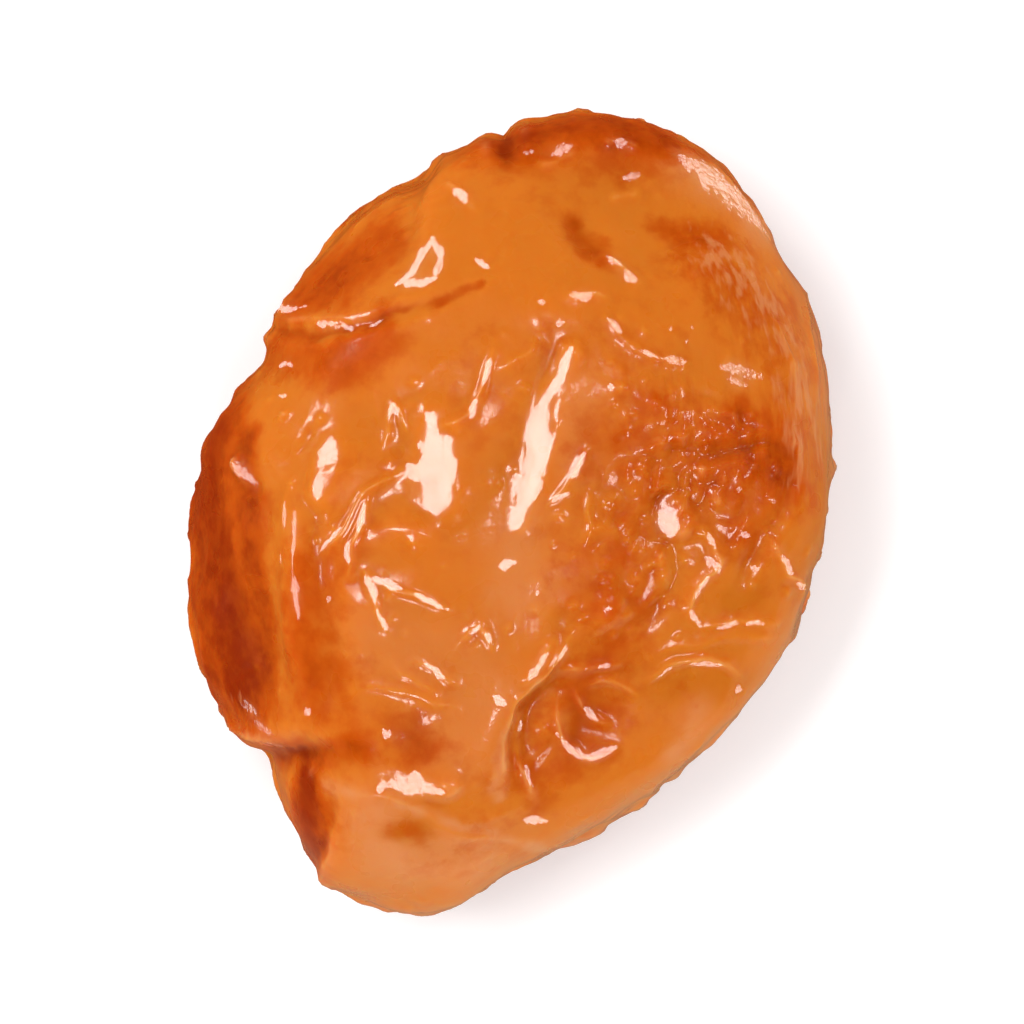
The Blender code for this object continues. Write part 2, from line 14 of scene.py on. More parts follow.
import bmesh
import bpy
import numpy as np
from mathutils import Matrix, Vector


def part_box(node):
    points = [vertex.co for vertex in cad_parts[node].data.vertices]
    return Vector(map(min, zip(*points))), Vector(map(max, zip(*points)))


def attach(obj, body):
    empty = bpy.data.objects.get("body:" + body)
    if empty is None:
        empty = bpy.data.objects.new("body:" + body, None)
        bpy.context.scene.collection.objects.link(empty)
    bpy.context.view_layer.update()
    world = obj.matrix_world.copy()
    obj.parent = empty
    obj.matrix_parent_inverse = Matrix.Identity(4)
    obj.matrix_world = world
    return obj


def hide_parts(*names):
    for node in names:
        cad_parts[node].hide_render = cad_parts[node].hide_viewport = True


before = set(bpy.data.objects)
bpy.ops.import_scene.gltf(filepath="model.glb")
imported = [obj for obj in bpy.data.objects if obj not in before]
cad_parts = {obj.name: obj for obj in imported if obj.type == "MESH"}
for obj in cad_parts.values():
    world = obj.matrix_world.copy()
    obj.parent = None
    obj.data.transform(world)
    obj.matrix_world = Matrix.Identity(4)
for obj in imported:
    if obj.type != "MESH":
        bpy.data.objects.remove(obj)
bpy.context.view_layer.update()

MM = 0.001

# Body, as in the solid
OUTLINE_RADII = np.array(  # every 15 degrees, from +X towards +Y
    [14.8, 15.5, 16.7, 17.6, 19.2, 19.5, 18.5, 17.0, 16.3, 15.3, 13.9, 15.0,
     15.5, 16.2, 17.0, 17.3, 19.8, 20.3, 17.6, 16.2, 15.2, 14.8, 15.0, 14.6]
)
RIM_HEIGHT = 9.2  # of the widest section over the table
TOP_RISE = 11.0  # from the rim to the top
UNDER_DROP = 9.6  # from the rim down, a little more than its height, so that the fruit rests on a flat
FULLNESS = 2.9  # 2 is an ellipsoid, and more is plumper

# Skin
SURFACE_CUTS = 127  # across each side of the cube that the body's mesh is made from
CROWDING = np.array([1, 1, 1.5])  # draws the mesh's faces together on the top and the underside
LIFT = np.array([0, 0, 0.75])  # and more of them to the top
LEVEL_FADE = 2.5  # the relief dies away over this height above the table
LEVEL_RELIEF = 0.12  # share of it that is left at the table
SIDE_STARTS = RIM_HEIGHT + 4.0  # the sides' wrinkles fade in below this
SIDE_FULL = RIM_HEIGHT - 1.5
RIM_CALM = 0.5  # how much fainter they are round the widest section
CALM_REACH = 2.5  # up and down from it
WRINKLES_ON_TOP = 0.05  # share of the sides' wrinkles that the top has
CRUMPLE_ON_TOP = 0.04
CRUMPLE_IN_SCAR = 0.2
FINE_ON_TOP = 0.35
NOISE_CELLS = 24  # each way, before the noise repeats

# Noise that moves what is drawn, to make it uneven: reach, size and seed, coarse and then fine
UNEVEN = (0.2, 2.6, 3), (0.12, 1.1, 6)  # for named folds, facets and glints
ROUGH = (0.5, 2.2, 13), (0.2, 0.9, 16)  # for scattered wrinkles
PUCKERED = (1.0, 5.0, 21), (0.4, 1.8, 31)  # for the puckering between them
BLOTCHY = (0.5, 2.6, 61), (0.25, 0.9, 64)  # for stains

Flat = namedtuple("Flat", "azimuth elevation depth softness")
Lumps = namedtuple("Lumps", "height size seed")
Swell = namedtuple("Swell", "place reach height")
Fold = namedtuple("Fold", "half_width height route")
Step = namedtuple("Step", "half_width drop route")
Facet = namedtuple("Facet", "reach azimuth elevation route")
Stain = namedtuple("Stain", "reach strength route")

# Where the sides have dried flat: the way that each faces, in degrees, and how far it is pressed in
FLATS = {
    "left flank": Flat(183, 33, 1.1, 0.8),
    "upper left cheek": Flat(137, 28, 1.0, 0.7),
    "foot left": Flat(205, 30, 0.8, 0.5),
    "foot panel": Flat(262, 32, 1.1, 0.35),
    "top": Flat(95, 52, 1.6, 0.6),
    "upper right rim": Flat(50, 54, 1.9, 0.6),
    "lower right side": Flat(312, 55, 2.5, 0.8),
}

# Rounded swells and hollows of the flesh, drawn by a rule and then by name
LUMPS = [Lumps(0.5, 10.0, 51), Lumps(0.3, 5.5, 52), Lumps(0.07, 2.4, 53)]
SWELLS = {
    "scar hollow": Swell((8.4, 0.6), 3.6, -0.6),
    "crater": Swell((4.4, -11.2), 1.8, -0.45),
    "boss": Swell((4.2, -4.0), 2.4, 0.25),
    "right lobe": Swell((14.3, -0.1), 2.4, 0.4),
    "upper lobe": Swell((0.3, 13.5), 4.0, 0.5),
    "upper right lobe": Swell((8.5, 10.5), 4.5, 0.4),
    "middle left lobe": Swell((-8.7, 6.4), 3.5, 0.3),
    "foot hollow": Swell((-4.6, -11.4), 1.4, -0.25),
    "middle lobe": Swell((-3.0, -3.5), 4.5, 0.4),
    "lower middle lobe": Swell((-1.2, -12.6), 2.6, 0.4),
    "lower right lobe": Swell((9.0, -11.0), 3.0, 0.4),
    "top bump": Swell((3.2, 18.4), 2.2, 0.3),
    "groove head": Swell((1.7, 8.2), 1.2, -0.2),
}

# Creases, which are below nought, and narrow ridges. Each dies away towards its ends
CREASES = {
    "foot crease": Fold(
        0.7, -0.25, [(-15.5, -13.0), (-12.6, -12.2), (-10.9, -12.0), (-8.5, -11.7), (-6.8, -12.1)]
    ),
    "left notch": Fold(
        0.35, -0.2, [(-12.2, 8.8), (-10.5, 8.7), (-8.0, 9.2), (-5.7, 9.8), (-4.0, 10.3), (-1.4, 11.1)]
    ),
    "top notch": Fold(0.5, -0.35, [(-1.2, 21.0), (-0.9, 19.2), (-0.5, 17.8), (0.1, 16.2)]),
    "middle groove": Fold(
        0.8, -0.2, [(2.0, 9.4), (1.7, 7.4), (0.7, 5.2), (0.0, 3.0), (-0.7, 1.0), (-1.2, -1.2)]
    ),
    "short crease": Fold(0.8, -0.3, [(2.7, 15.9), (3.3, 14.6), (3.9, 13.5), (4.6, 12.4)]),
    "scar upper crease": Fold(
        0.4, -0.15, [(5.0, 1.4), (6.8, 2.0), (8.4, 3.0), (10.2, 2.4), (12.2, 3.0), (13.9, 2.0)]
    ),
    "scar lower crease": Fold(
        0.4, -0.15, [(6.6, -1.0), (7.9, -2.4), (8.6, -4.2), (7.4, -6.2), (6.2, -7.4)]
    ),
    "right flank crease": Fold(
        0.4, -0.16, [(13.3, 2.6), (13.0, -0.1), (12.2, -1.9), (11.3, -4.5), (10.8, -5.8)]
    ),
    "long fold hollow": Fold(0.8, -0.35, [(3.6, -8.2), (1.9, -9.9), (0.9, -11.8), (0.6, -14.0)]),
}
RIDGES = {
    "foot crease lip": Fold(0.4, 0.3, [(-14.6, -9.0), (-13.4, -10.5), (-12.0, -11.5), (-10.4, -11.7)]),
    "left notch lip": Fold(
        0.25, 0.1, [(-11.4, 9.1), (-10.2, 9.5), (-9.1, 9.7), (-8.0, 9.2), (-7.3, 9.3), (-6.4, 9.8)]
    ),
    "corner ridge": Fold(0.25, 0.08, [(-12.4, 9.2), (-11.6, 9.8), (-10.6, 10.4), (-9.6, 10.9)]),
    "groove left ridge": Fold(
        0.25, 0.3, [(-1.0, 8.6), (-1.2, 7.3), (-1.6, 6.0), (-2.1, 4.7), (-2.8, 4.2), (-4.2, 3.4)]
    ),
    "groove head ridge": Fold(0.25, 0.15, [(-1.2, 6.2), (-0.4, 6.8), (0.6, 7.4), (1.0, 8.4)]),
    "pocket ridge": Fold(
        0.22, 0.2, [(-9.9, -2.3), (-9.2, -2.1), (-8.3, -1.3), (-7.6, 0.1), (-6.9, 0.9), (-5.3, 1.9)]
    ),
    "pocket line": Fold(0.22, 0.3, [(-8.1, -3.9), (-7.9, -3.0), (-7.5, -1.4), (-7.1, 0.2), (-6.8, 1.0)]),
    "long V ridge": Fold(
        0.22, 0.25, [(-7.8, -2.8), (-7.1, -3.2), (-5.9, -3.9), (-4.7, -4.4), (-3.5, -4.8), (-2.7, -5.0)]
    ),
    "short V ridge": Fold(
        0.3, 0.25, [(-7.4, -2.4), (-7.1, -3.4), (-6.8, -4.4), (-6.3, -5.6), (-5.8, -6.4)]
    ),
    "left peak": Fold(0.22, 0.25, [(-6.7, 2.4), (-6.3, 3.4), (-6.0, 4.8), (-5.6, 4.5), (-5.2, 3.0)]),
    "small V": Fold(0.22, 0.22, [(-3.0, -7.3), (-2.6, -6.6), (-1.9, -5.9), (-1.4, -6.6), (-0.7, -7.5)]),
    "slanting ridge": Fold(
        0.25, 0.25, [(-5.3, -7.2), (-4.9, -7.5), (-4.0, -7.9), (-2.9, -8.7), (-2.4, -9.2)]
    ),
    "low ridge": Fold(0.28, 0.18, [(-8.6, -9.2), (-7.0, -8.8), (-5.0, -9.0), (-2.8, -10.0), (-1.6, -10.2)]),
    "upper low ridge": Fold(0.28, 0.18, [(-7.4, -7.6), (-6.0, -7.8), (-4.4, -8.6), (-3.0, -9.6)]),
    "arc ridge": Fold(0.2, 0.22, [(4.2, 10.0), (4.6, 9.2), (5.5, 8.2), (6.8, 7.45), (7.7, 7.2), (9.2, 7.2)]),
    "shelf": Fold(0.35, 0.25, [(2.1, 9.9), (2.7, 10.2), (3.5, 10.4), (4.3, 10.4), (5.0, 10.2)]),
    "crescent": Fold(0.3, 0.28, [(4.5, 13.2), (4.9, 12.6), (5.75, 11.9), (6.1, 11.1), (6.0, 10.3)]),
    "long fold": Fold(
        0.28, 0.3, [(3.9, -6.0), (3.1, -7.0), (2.1, -8.4), (1.0, -9.4), (0.2, -10.6), (-0.3, -14.9)]
    ),
    "long fold twin": Fold(0.3, 0.25, [(2.6, -6.5), (2.0, -7.3), (1.0, -8.7), (0.4, -9.4)]),
    "crater crest": Fold(0.22, 0.28, [(2.4, -8.7), (3.3, -8.5), (4.5, -8.5), (5.6, -8.6), (6.4, -8.8)]),
    "crater ring": Fold(
        0.28, 0.3, [(2.7, -9.9), (2.8, -10.7), (2.9, -11.5), (3.6, -12.6), (4.5, -12.9), (6.2, -12.2)]
    ),
    "crater inner ridge": Fold(
        0.25, 0.28, [(3.6, -9.6), (3.9, -10.2), (4.4, -11.1), (5.1, -11.5), (5.8, -11.6)]
    ),
    "crater upper ridge": Fold(
        0.2, 0.22, [(4.1, -9.9), (4.7, -9.6), (5.5, -9.5), (6.6, -10.0), (7.1, -10.3)]
    ),
    "crater side ridge": Fold(
        0.25, 0.3, [(1.1, -10.3), (0.85, -11.1), (0.75, -12.8), (1.4, -14.5), (1.8, -15.2)]
    ),
    "right ridge": Fold(
        0.3, 0.35, [(9.5, -0.9), (10.2, -2.7), (10.4, -3.5), (9.5, -4.6), (9.2, -5.9), (9.6, -7.0)]
    ),
    "right lobe ridge": Fold(
        0.22, 0.28, [(12.2, -1.2), (12.6, -2.1), (13.2, -3.4), (13.7, -3.8), (13.7, -5.2)]
    ),
    "right lower ridge": Fold(
        0.25, 0.22, [(9.4, -7.0), (10.4, -6.6), (11.5, -6.2), (12.8, -5.9), (13.3, -5.9)]
    ),
    "right lower swell": Fold(
        0.5, 0.2, [(7.2, -9.3), (7.7, -8.3), (8.5, -7.7), (10.0, -7.4), (11.5, -6.8), (13.2, -6.6)]
    ),
    "right hooked ridge": Fold(
        0.25, 0.32, [(7.0, -10.2), (7.5, -9.4), (8.5, -8.5), (9.8, -8.05), (10.9, -8.3), (11.5, -8.8)]
    ),
    "foot edge": Fold(
        0.3, 0.12, [(-9.4, -13.5), (-8.0, -13.9), (-6.2, -14.3), (-4.0, -15.3), (-2.3, -16.4), (1.5, -16.6)]
    ),
    "foot side edge": Fold(
        0.3, 0.25, [(-8.4, -13.0), (-8.8, -14.6), (-9.1, -17.0), (-9.2, -19.0), (-9.0, -21.0)]
    ),
    "top ring": Fold(0.25, 0.2, [(2.4, 18.2), (2.9, 18.9), (3.5, 19.3), (4.4, 19.2), (5.0, 18.9)]),
    "rim wrinkle": Fold(0.22, 0.12, [(12.6, 12.4), (13.6, 10.5), (14.2, 8.0), (14.4, 5.5), (14.0, 3.0)]),
    "inner rim wrinkle": Fold(0.22, 0.1, [(12.0, 10.8), (12.9, 8.8), (13.5, 6.6), (13.6, 4.4)]),
    "outer rim wrinkle": Fold(0.22, 0.12, [(13.9, 11.6), (14.8, 9.5), (15.2, 7.0), (15.3, 4.5), (15.0, 3.0)]),
    "scar line": Fold(0.22, 0.18, [(3.4, 1.2), (3.5, 0.0), (3.7, -1.7), (3.8, -2.4)]),
    "streak twin": Fold(0.25, 0.28, [(1.3, -0.1), (1.7, 0.2), (2.6, 1.3), (3.4, 2.7), (3.8, 3.4)]),
    "top wrinkle": Fold(0.3, 0.2, [(1.1, 17.2), (1.9, 17.5), (2.5, 17.8), (3.3, 18.0)]),
    "top right wrinkle": Fold(0.3, 0.2, [(4.0, 18.2), (4.9, 18.2), (5.5, 18.1), (6.3, 17.8)]),
    "shoulder wrinkle": Fold(0.3, 0.2, [(4.8, 16.3), (5.5, 16.4), (6.1, 16.4), (6.8, 16.2)]),
    "lobe wrinkle": Fold(0.3, 0.2, [(-3.8, 16.0), (-3.0, 15.7), (-2.4, 15.2), (-1.8, 14.6)]),
    "panel swell": Fold(0.6, 0.15, [(-10.7, 0.9), (-10.8, -0.6), (-11.0, -4.0), (-11.0, -6.5)]),
}
ROUTE_STEPS = 5  # pieces that each stretch of a route is smoothed into
RUN_OUT = 0.3  # share of a fold's length over which it dies away

# Where the skin drops from one level to another: it is lower on the right of the route
STEPS = {
    "upper lobe edge": Step(
        0.6, 0.6, [(-3.2, 20.5), (-3.6, 17.6), (-4.8, 15.4), (-5.2, 13.6), (-4.8, 12.0), (-3.8, 10.8)]
    ),
    "left edge": Step(
        0.7, 0.7,
        [(-8.2, 5.6), (-9.3, 3.2), (-9.6, 0.4), (-9.1, -2.5), (-8.6, -5.5), (-8.6, -8.0), (-9.4, -11)]
    ),
    "flank edge": Step(
        0.9, 0.4, [(-11.6, 3.0), (-11.9, 0.2), (-12.1, -2.6), (-12.3, -7.0), (-11.2, -11.0)]
    ),
    "foot crease drop": Step(
        0.5, 0.6, [(-15.0, -12.6), (-12.4, -11.8), (-10.0, -11.6), (-7.6, -11.7), (-5.6, -12.6)]
    ),
    "foot side": Step(
        0.35, 0.45, [(-8.2, -12.6), (-8.7, -14.6), (-9.1, -16.8), (-9.3, -19.0), (-9.0, -22.0)]
    ),
    "groove wall": Step(
        0.6, 0.28, [(2.9, 9.4), (2.5, 6.8), (1.5, 5.0), (1.2, 3.2), (0.8, 0.8), (-0.5, -1.6)]
    ),
    "middle drop": Step(0.7, 0.6, [(-3.6, 5.8), (-4.0, 3.6), (-4.1, 1.4), (-3.7, -0.8)]),
    "crater drop": Step(0.5, -0.4, [(3.6, -6.6), (2.2, -8.6), (0.4, -10.2), (0.0, -12.4), (0.2, -15.0)]),
    "boss rise": Step(0.8, -0.15, [(3.2, -1.7), (2.1, -3.0), (2.0, -5.0), (3.1, -6.4), (5.2, -7.2)]),
}
STEP_REACH = 2.5

# Ways that small flats of the skin face, each halfway up from a lamp: azimuth and elevation, in degrees
TO_KEY = 155, 81
TO_TOP = 42, 80
TO_UPPER_LEFT = 148, 53
TO_LEFT = 180, 48
TO_FOOT = 262, 64
TO_LOWER_RIGHT = 315, 68
TO_UPPER_RIGHT = 2, 67
TO_NO_LAMP = 235, 76

# Small flats of skin along a route
FACETS = {
    "pocket": Facet(1.6, *TO_NO_LAMP, [(-6.9, -2.6), (-5.3, -1.6)]),
    "under the boss": Facet(1.1, 285, 70, [(3.4, -6.0), (5.0, -5.6)]),
    "middle": Facet(1.15, *TO_KEY, [(-4.1, 4.0), (-4.0, 2.6), (-4.2, 1.7), (-3.6, 0.3)]),
    "upper groove": Facet(0.6, *TO_KEY, [(2.7, 7.4), (2.3, 6.4), (1.5, 5.4), (1.3, 4.6)]),
    "lower groove": Facet(0.6, *TO_KEY, [(1.25, 3.9), (1.1, 2.1), (0.4, 0.0), (0.0, -0.8)]),
    "left edge": Facet(0.7, *TO_UPPER_LEFT, [(-9.0, 3.0), (-9.5, 2.0), (-9.5, 0.8)]),
    "foot": Facet(0.8, *TO_FOOT, [(-5.6, -13.7), (-3.2, -13.9)]),
    "scar": Facet(0.8, *TO_KEY, [(7.8, -0.3), (8.6, -1.3)]),
    "flank": Facet(0.5, *TO_LEFT, [(-14.3, 2.1), (-13.6, 1.0)]),
}
FACET_LEVEL = 0.75  # share of a facet's strip that it raises
FACET_MOST = 0.45  # that it moves the skin by

# Wet glints, by the way that the gloss faces there: reach and route
GLINT_TURN = 1.2  # how far a glint turns the gloss: over 1, so that its whole middle mirrors the lamp
GLINT_FALL = 2.4  # how fast that dies away across the glint
GLINT_EDGE = 2.5  # 2 is a soft edge, and more is crisper
GLINT_ENDS = 0.45  # share of its reach at a glint's ends
GLINTS = {
    TO_KEY: [
        (1.2, [(-3.9, 3.6), (-4.0, 2.4), (-4.5, 1.9)]),
        (0.6, [(-3.2, 3.2), (-3.3, 1.6), (-3.6, 0.2)]),
        (0.5, [(-4.5, 1.3), (-5.3, 2.0)]),
        (0.5, [(-4.3, 4.4), (-3.8, 3.9)]),
        (0.45, [(2.8, 7.6), (2.3, 6.4), (1.6, 5.2)]),
        (0.5, [(1.4, 5.2), (1.3, 4.4), (1.2, 3.4)]),
        (0.9, [(1.2, 4.2), (1.0, 2.8), (0.7, 1.4), (0.2, -0.2)]),
        (0.95, [(7.6, -0.8), (8.1, -1.9)]),
        (0.5, [(-0.7, -2.9), (-0.1, -2.85)]),
        (0.28, [(1.2, -4.3), (1.4, -4.3)]),
        (0.28, [(4.9, -5.4), (5.1, -5.4)]),
        (0.25, [(-2.2, -6.4), (-1.8, -5.9)]),
        (0.25, [(-1.6, -6.3), (-1.0, -6.9)]),
        (0.3, [(-4.4, -7.6), (-3.2, -8.5)]),
        (0.4, [(-0.8, -9.7), (-0.2, -10.1)]),
        (0.28, [(-6.9, -3.3), (-5.4, -4.0)]),
        (0.28, [(-4.9, -4.3), (-3.3, -4.9)]),
        (0.35, [(-7.2, -3.2), (-6.8, -4.5)]),
        (0.28, [(-6.6, -4.9), (-6.1, -5.8)]),
        (0.3, [(-8.0, -2.8), (-7.7, -1.6)]),
        (0.3, [(-7.5, -1.2), (-7.2, 0.2)]),
        (0.25, [(-9.4, -2.1), (-8.3, -1.0)]),
        (0.3, [(-1.2, 7.2), (-1.6, 5.9)]),
        (0.35, [(-1.7, 5.3), (-2.2, 4.3)]),
        (0.28, [(-6.3, 3.9), (-6.0, 4.8), (-5.6, 4.2)]),
        (0.3, [(2.6, 1.3), (3.4, 2.7)]),
        (0.28, [(1.7, 0.2), (2.6, 0.7)]),
        (0.35, [(-2.0, 12.5), (-1.3, 12.0)]),
        (0.28, [(4.6, 5.8), (4.8, 5.8)]),
        (0.28, [(7.4, 3.4), (7.6, 3.4)]),
    ],
    TO_TOP: [
        (0.42, [(2.5, 10.25), (3.9, 10.45)]),
        (0.32, [(1.2, 10.0), (1.4, 10.0)]),
        (0.32, [(2.0, 9.0), (2.3, 9.0)]),
        (0.3, [(4.6, 9.2), (5.5, 8.3)]),
        (0.3, [(5.9, 7.9), (6.9, 7.4)]),
        (0.3, [(7.1, 7.35), (8.3, 7.15)]),
        (0.6, [(0.6, 17.9), (0.8, 17.9)]),
        (0.7, [(1.9, 17.8), (2.6, 18.1)]),
        (0.6, [(4.8, 18.2), (5.5, 18.1)]),
        (0.45, [(5.6, 17.1), (6.3, 17.1)]),
        (1.7, [(8.2, 17.2), (9.25, 16.55), (10.2, 15.65), (11.0, 14.6), (11.7, 13.5)]),
        (0.55, [(4.8, 12.7), (5.4, 12.2)]),
        (0.55, [(5.6, 12.0), (6.1, 11.2)]),
    ],
    TO_UPPER_LEFT: [
        (0.5, [(-3.1, 15.7), (-2.4, 15.2)]),
        (0.4, [(-6.3, 11.3), (-5.3, 12.0), (-4.8, 12.9), (-4.3, 13.5)]),
        (0.35, [(-4.3, 13.4), (-3.9, 12.6), (-4.0, 11.6)]),
        (0.5, [(-5.9, 11.5), (-4.9, 11.4), (-4.0, 11.5)]),
        (0.8, [(-9.4, 2.3), (-8.9, 3.1)]),
        (0.35, [(-9.5, 1.8), (-9.5, 0.2)]),
        (0.3, [(-11.3, 9.6), (-10.5, 10.2)]),
        (0.28, [(-10.1, 9.3), (-9.1, 9.4)]),
        (0.28, [(-8.9, 9.3), (-8.1, 9.0)]),
        (0.25, [(-7.4, 9.2), (-6.8, 9.5)]),
        (0.28, [(-11.6, 6.9), (-11.0, 6.9)]),
        (0.28, [(-12.0, 5.6), (-11.2, 5.6)]),
    ],
    TO_LEFT: [
        (0.25, [(-11.7, 0.1), (-11.7, -1.4)]),
        (0.25, [(-11.9, -1.9), (-12.1, -3.0)]),
        (0.35, [(-11.0, -0.4), (-10.9, -2.4)]),
        (0.35, [(-10.9, -3.2), (-10.8, -5.4)]),
        (0.28, [(-9.1, -4.4), (-9.0, -4.6)]),
        (0.45, [(-14.3, 2.2), (-13.6, 1.1)]),
        (0.35, [(-13.8, -9.6), (-13.0, -10.2)]),
        (0.35, [(-12.8, -10.6), (-12.0, -11.1)]),
        (0.3, [(-12.4, -11.5), (-11.6, -11.8)]),
    ],
    TO_FOOT: [
        (0.75, [(-5.6, -13.9), (-4.4, -13.9), (-3.4, -14.1)]),
        (0.4, [(-6.6, -14.0), (-5.6, -13.7)]),
        (0.5, [(-4.9, -13.4), (-4.3, -13.4)]),
        (0.5, [(-6.3, -11.2), (-6.0, -11.0)]),
        (0.4, [(-10.4, -9.8), (-10.2, -10.0)]),
        (0.5, [(1.0, -15.7), (1.8, -15.8)]),
    ],
    TO_LOWER_RIGHT: [
        (0.36, [(2.9, -11.9), (3.5, -12.5), (4.3, -12.9), (5.2, -12.6), (5.8, -12.3)]),
        (0.4, [(4.3, -10.9), (4.9, -11.4)]),
        (0.28, [(3.4, -8.6), (4.4, -8.5)]),
        (0.28, [(4.7, -8.5), (5.6, -8.6)]),
        (0.35, [(1.0, -8.7), (2.0, -7.4)]),
        (0.25, [(2.3, -8.1), (3.1, -7.1)]),
        (0.28, [(0.95, -11.2), (0.9, -11.8)]),
        (0.28, [(1.1, -13.3), (1.5, -14.4)]),
        (0.28, [(7.6, -9.4), (8.6, -8.6)]),
        (0.28, [(9.2, -8.3), (10.6, -8.3)]),
        (0.4, [(11.0, -9.2), (11.2, -9.2)]),
        (0.28, [(10.5, -6.7), (11.5, -6.3)]),
        (0.28, [(11.7, -6.25), (12.6, -6.0)]),
        (0.3, [(9.9, -1.6), (10.2, -2.6)]),
        (0.5, [(10.0, -3.2), (10.4, -3.8)]),
        (0.3, [(9.9, -4.1), (9.4, -5.2)]),
        (0.25, [(9.2, -5.9), (9.8, -6.7)]),
        (0.28, [(12.8, -2.4), (13.4, -3.4)]),
        (0.25, [(13.5, -3.6), (13.8, -4.3)]),
        (0.3, [(11.8, -3.5), (12.1, -3.6)]),
        (0.35, [(11.5, -1.8), (11.8, -2.0)]),
    ],
    TO_UPPER_RIGHT: [
        (0.28, [(7.5, 9.0), (7.7, 9.0)]),
        (0.28, [(8.6, 9.0), (8.8, 9.0)]),
        (0.25, [(8.3, 8.3), (8.5, 8.3)]),
        (0.3, [(11.1, 0.5), (11.4, 0.4)]),
        (0.3, [(12.4, 0.2), (12.7, 0.0)]),
        (0.5, [(10.3, 7.1), (11.2, 6.9), (12.1, 6.6)]),
        (0.4, [(10.7, 6.4), (11.5, 6.2)]),
    ],
}

# Short wrinkles drawn by a rule: seed, count, length, half width, height for each millimetre of half width
Wrinkles = namedtuple("Wrinkles", "seed count length half_width height")
SIDE_WRINKLES = Wrinkles(5, 150, (3.0, 9.0), (0.35, 0.9), (0.3, 0.8))
FINE_WRINKLES = Wrinkles(8, 260, (1.0, 3.6), (0.14, 0.24), (0.3, 0.7))

# Low bumps of the skin: cobbles in the scar and above it, streaks along the fruit, and grit
SCARRED_REACH = 4.2
SCAR_COBBLES = 0.1
BUMPY_MIDDLE = (9.5, 7.0)
BUMPY_REACH = 4.5
BUMPY_COBBLES = 0.03
STREAKS = Lumps(0.008, 1.0, 54)
STREAK_AXES = np.array([[0.97, 0.24, 0], [-0.25, 0.97, 0], [0, 0, 1]])  # across them, along them and up
STREAK_SIZE = (0.5, 2.2, 0.8)  # along each of these axes
GRIT = Lumps(0.005, 0.7, 55)

# Pimples of the skin, half of them round the scar
PIMPLE_SEED = 4
PIMPLE_COUNT = 240
PIMPLE_REACH = (0.16, 0.32)
PIMPLE_HEIGHT = 0.35  # of its reach
PIMPLE_SPREAD = 0.9  # round the scar, as a share of the scar's reach
PIMPLE_FIELD = (15, 19)  # where the others are, each way from the middle

# Where the skin is coloured a deeper red, up to 1 for the darkest, where paler and where amber: partly the
# flesh's own colour, partly painted shade and painted light, as marked below
STAIN_EDGE = 2.5  # 2 is a soft edge, and more is crisper
RED_STAINS_AND_SHADE = {
    "scar": Stain(3.2, 0.36, [(5.8, 2.0), (8.2, 0.2), (11.6, 2.8)]),
    "scar right": Stain(1.9, 0.42, [(11.2, 3.8), (12.6, 1.4), (11.2, -1.8)]),
    "boss": Stain(2.6, 0.4, [(4.2, -3.6), (5.0, -4.8)]),
    "under the boss": Stain(1.7, 0.4, [(6.8, -5.6), (5.6, -8.0)]),
    "crater": Stain(2.2, 0.42, [(3.4, -10.2), (4.8, -11.2), (2.2, -13.2)]),
    "long fold": Stain(1.1, 0.4, [(1.6, -10.2), (0.8, -12.6), (1.8, -15.0)]),
    "top bump": Stain(2.6, 0.75, [(0.0, 18.2), (3.0, 18.8), (6.4, 18.2)]),
    "upper left rim": Stain(1.3, 0.8, [(-8.0, 14.6), (-5.0, 16.8), (-2.0, 18.6)]),
    "cheek": Stain(2.4, 0.55, [(-10.6, 10.8), (-7.4, 13.2)]),
    "under the notch": Stain(1.8, 0.5, [(-11.6, 7.6), (-8.4, 7.2), (-7.2, 8.4)]),
    # partly the flesh's deeper red and partly painted shade: the left side is made darker
    "left flank": Stain(3.0, 0.95, [(-15.2, 3.0), (-15.4, -3.0), (-14.4, -8.4)]),
    "left rim": Stain(3.2, 0.85, [(-14.5, 3.9), (-15.5, 0.0), (-15.6, -4.2), (-14.7, -8.5)]),
    "inner flank": Stain(1.7, 0.7, [(-14.0, 3.0), (-14.2, -2.0), (-13.8, -7.0)]),
    "left panel": Stain(2.4, 0.35, [(-10.4, -3.6), (-10.2, -8.6)]),
    "low left": Stain(2.0, 0.85, [(-14.4, -6.8), (-13.7, -9.0)]),
    "foot crease": Stain(1.0, 0.55, [(-12.2, -12.0), (-9.8, -12.2), (-7.4, -11.9)]),
    # partly painted shade: the left side of the foot is made darker
    "foot side": Stain(1.6, 0.9, [(-10.6, -13.4), (-10.4, -15.4), (-10.0, -17.4)]),
    "foot hollow": Stain(1.3, 0.35, [(-5.0, -11.0), (-4.0, -11.8)]),
    "short crease": Stain(0.85, 0.55, [(3.2, 14.7), (3.8, 13.7), (4.4, 12.9)]),
    "groove head": Stain(0.7, 0.15, [(1.8, 8.4), (1.3, 6.6)]),
    "left notch": Stain(0.4, 0.5, [(-8.4, 9.1), (-5.7, 9.8), (-4.0, 10.3), (-1.6, 11.0)]),
    "under the rim facet": Stain(0.8, 0.35, [(7.2, 14.9), (10.2, 13.4)]),
    "panel patch": Stain(0.8, 0.3, [(-5.6, -16.4), (-4.6, -16.4)]),
}
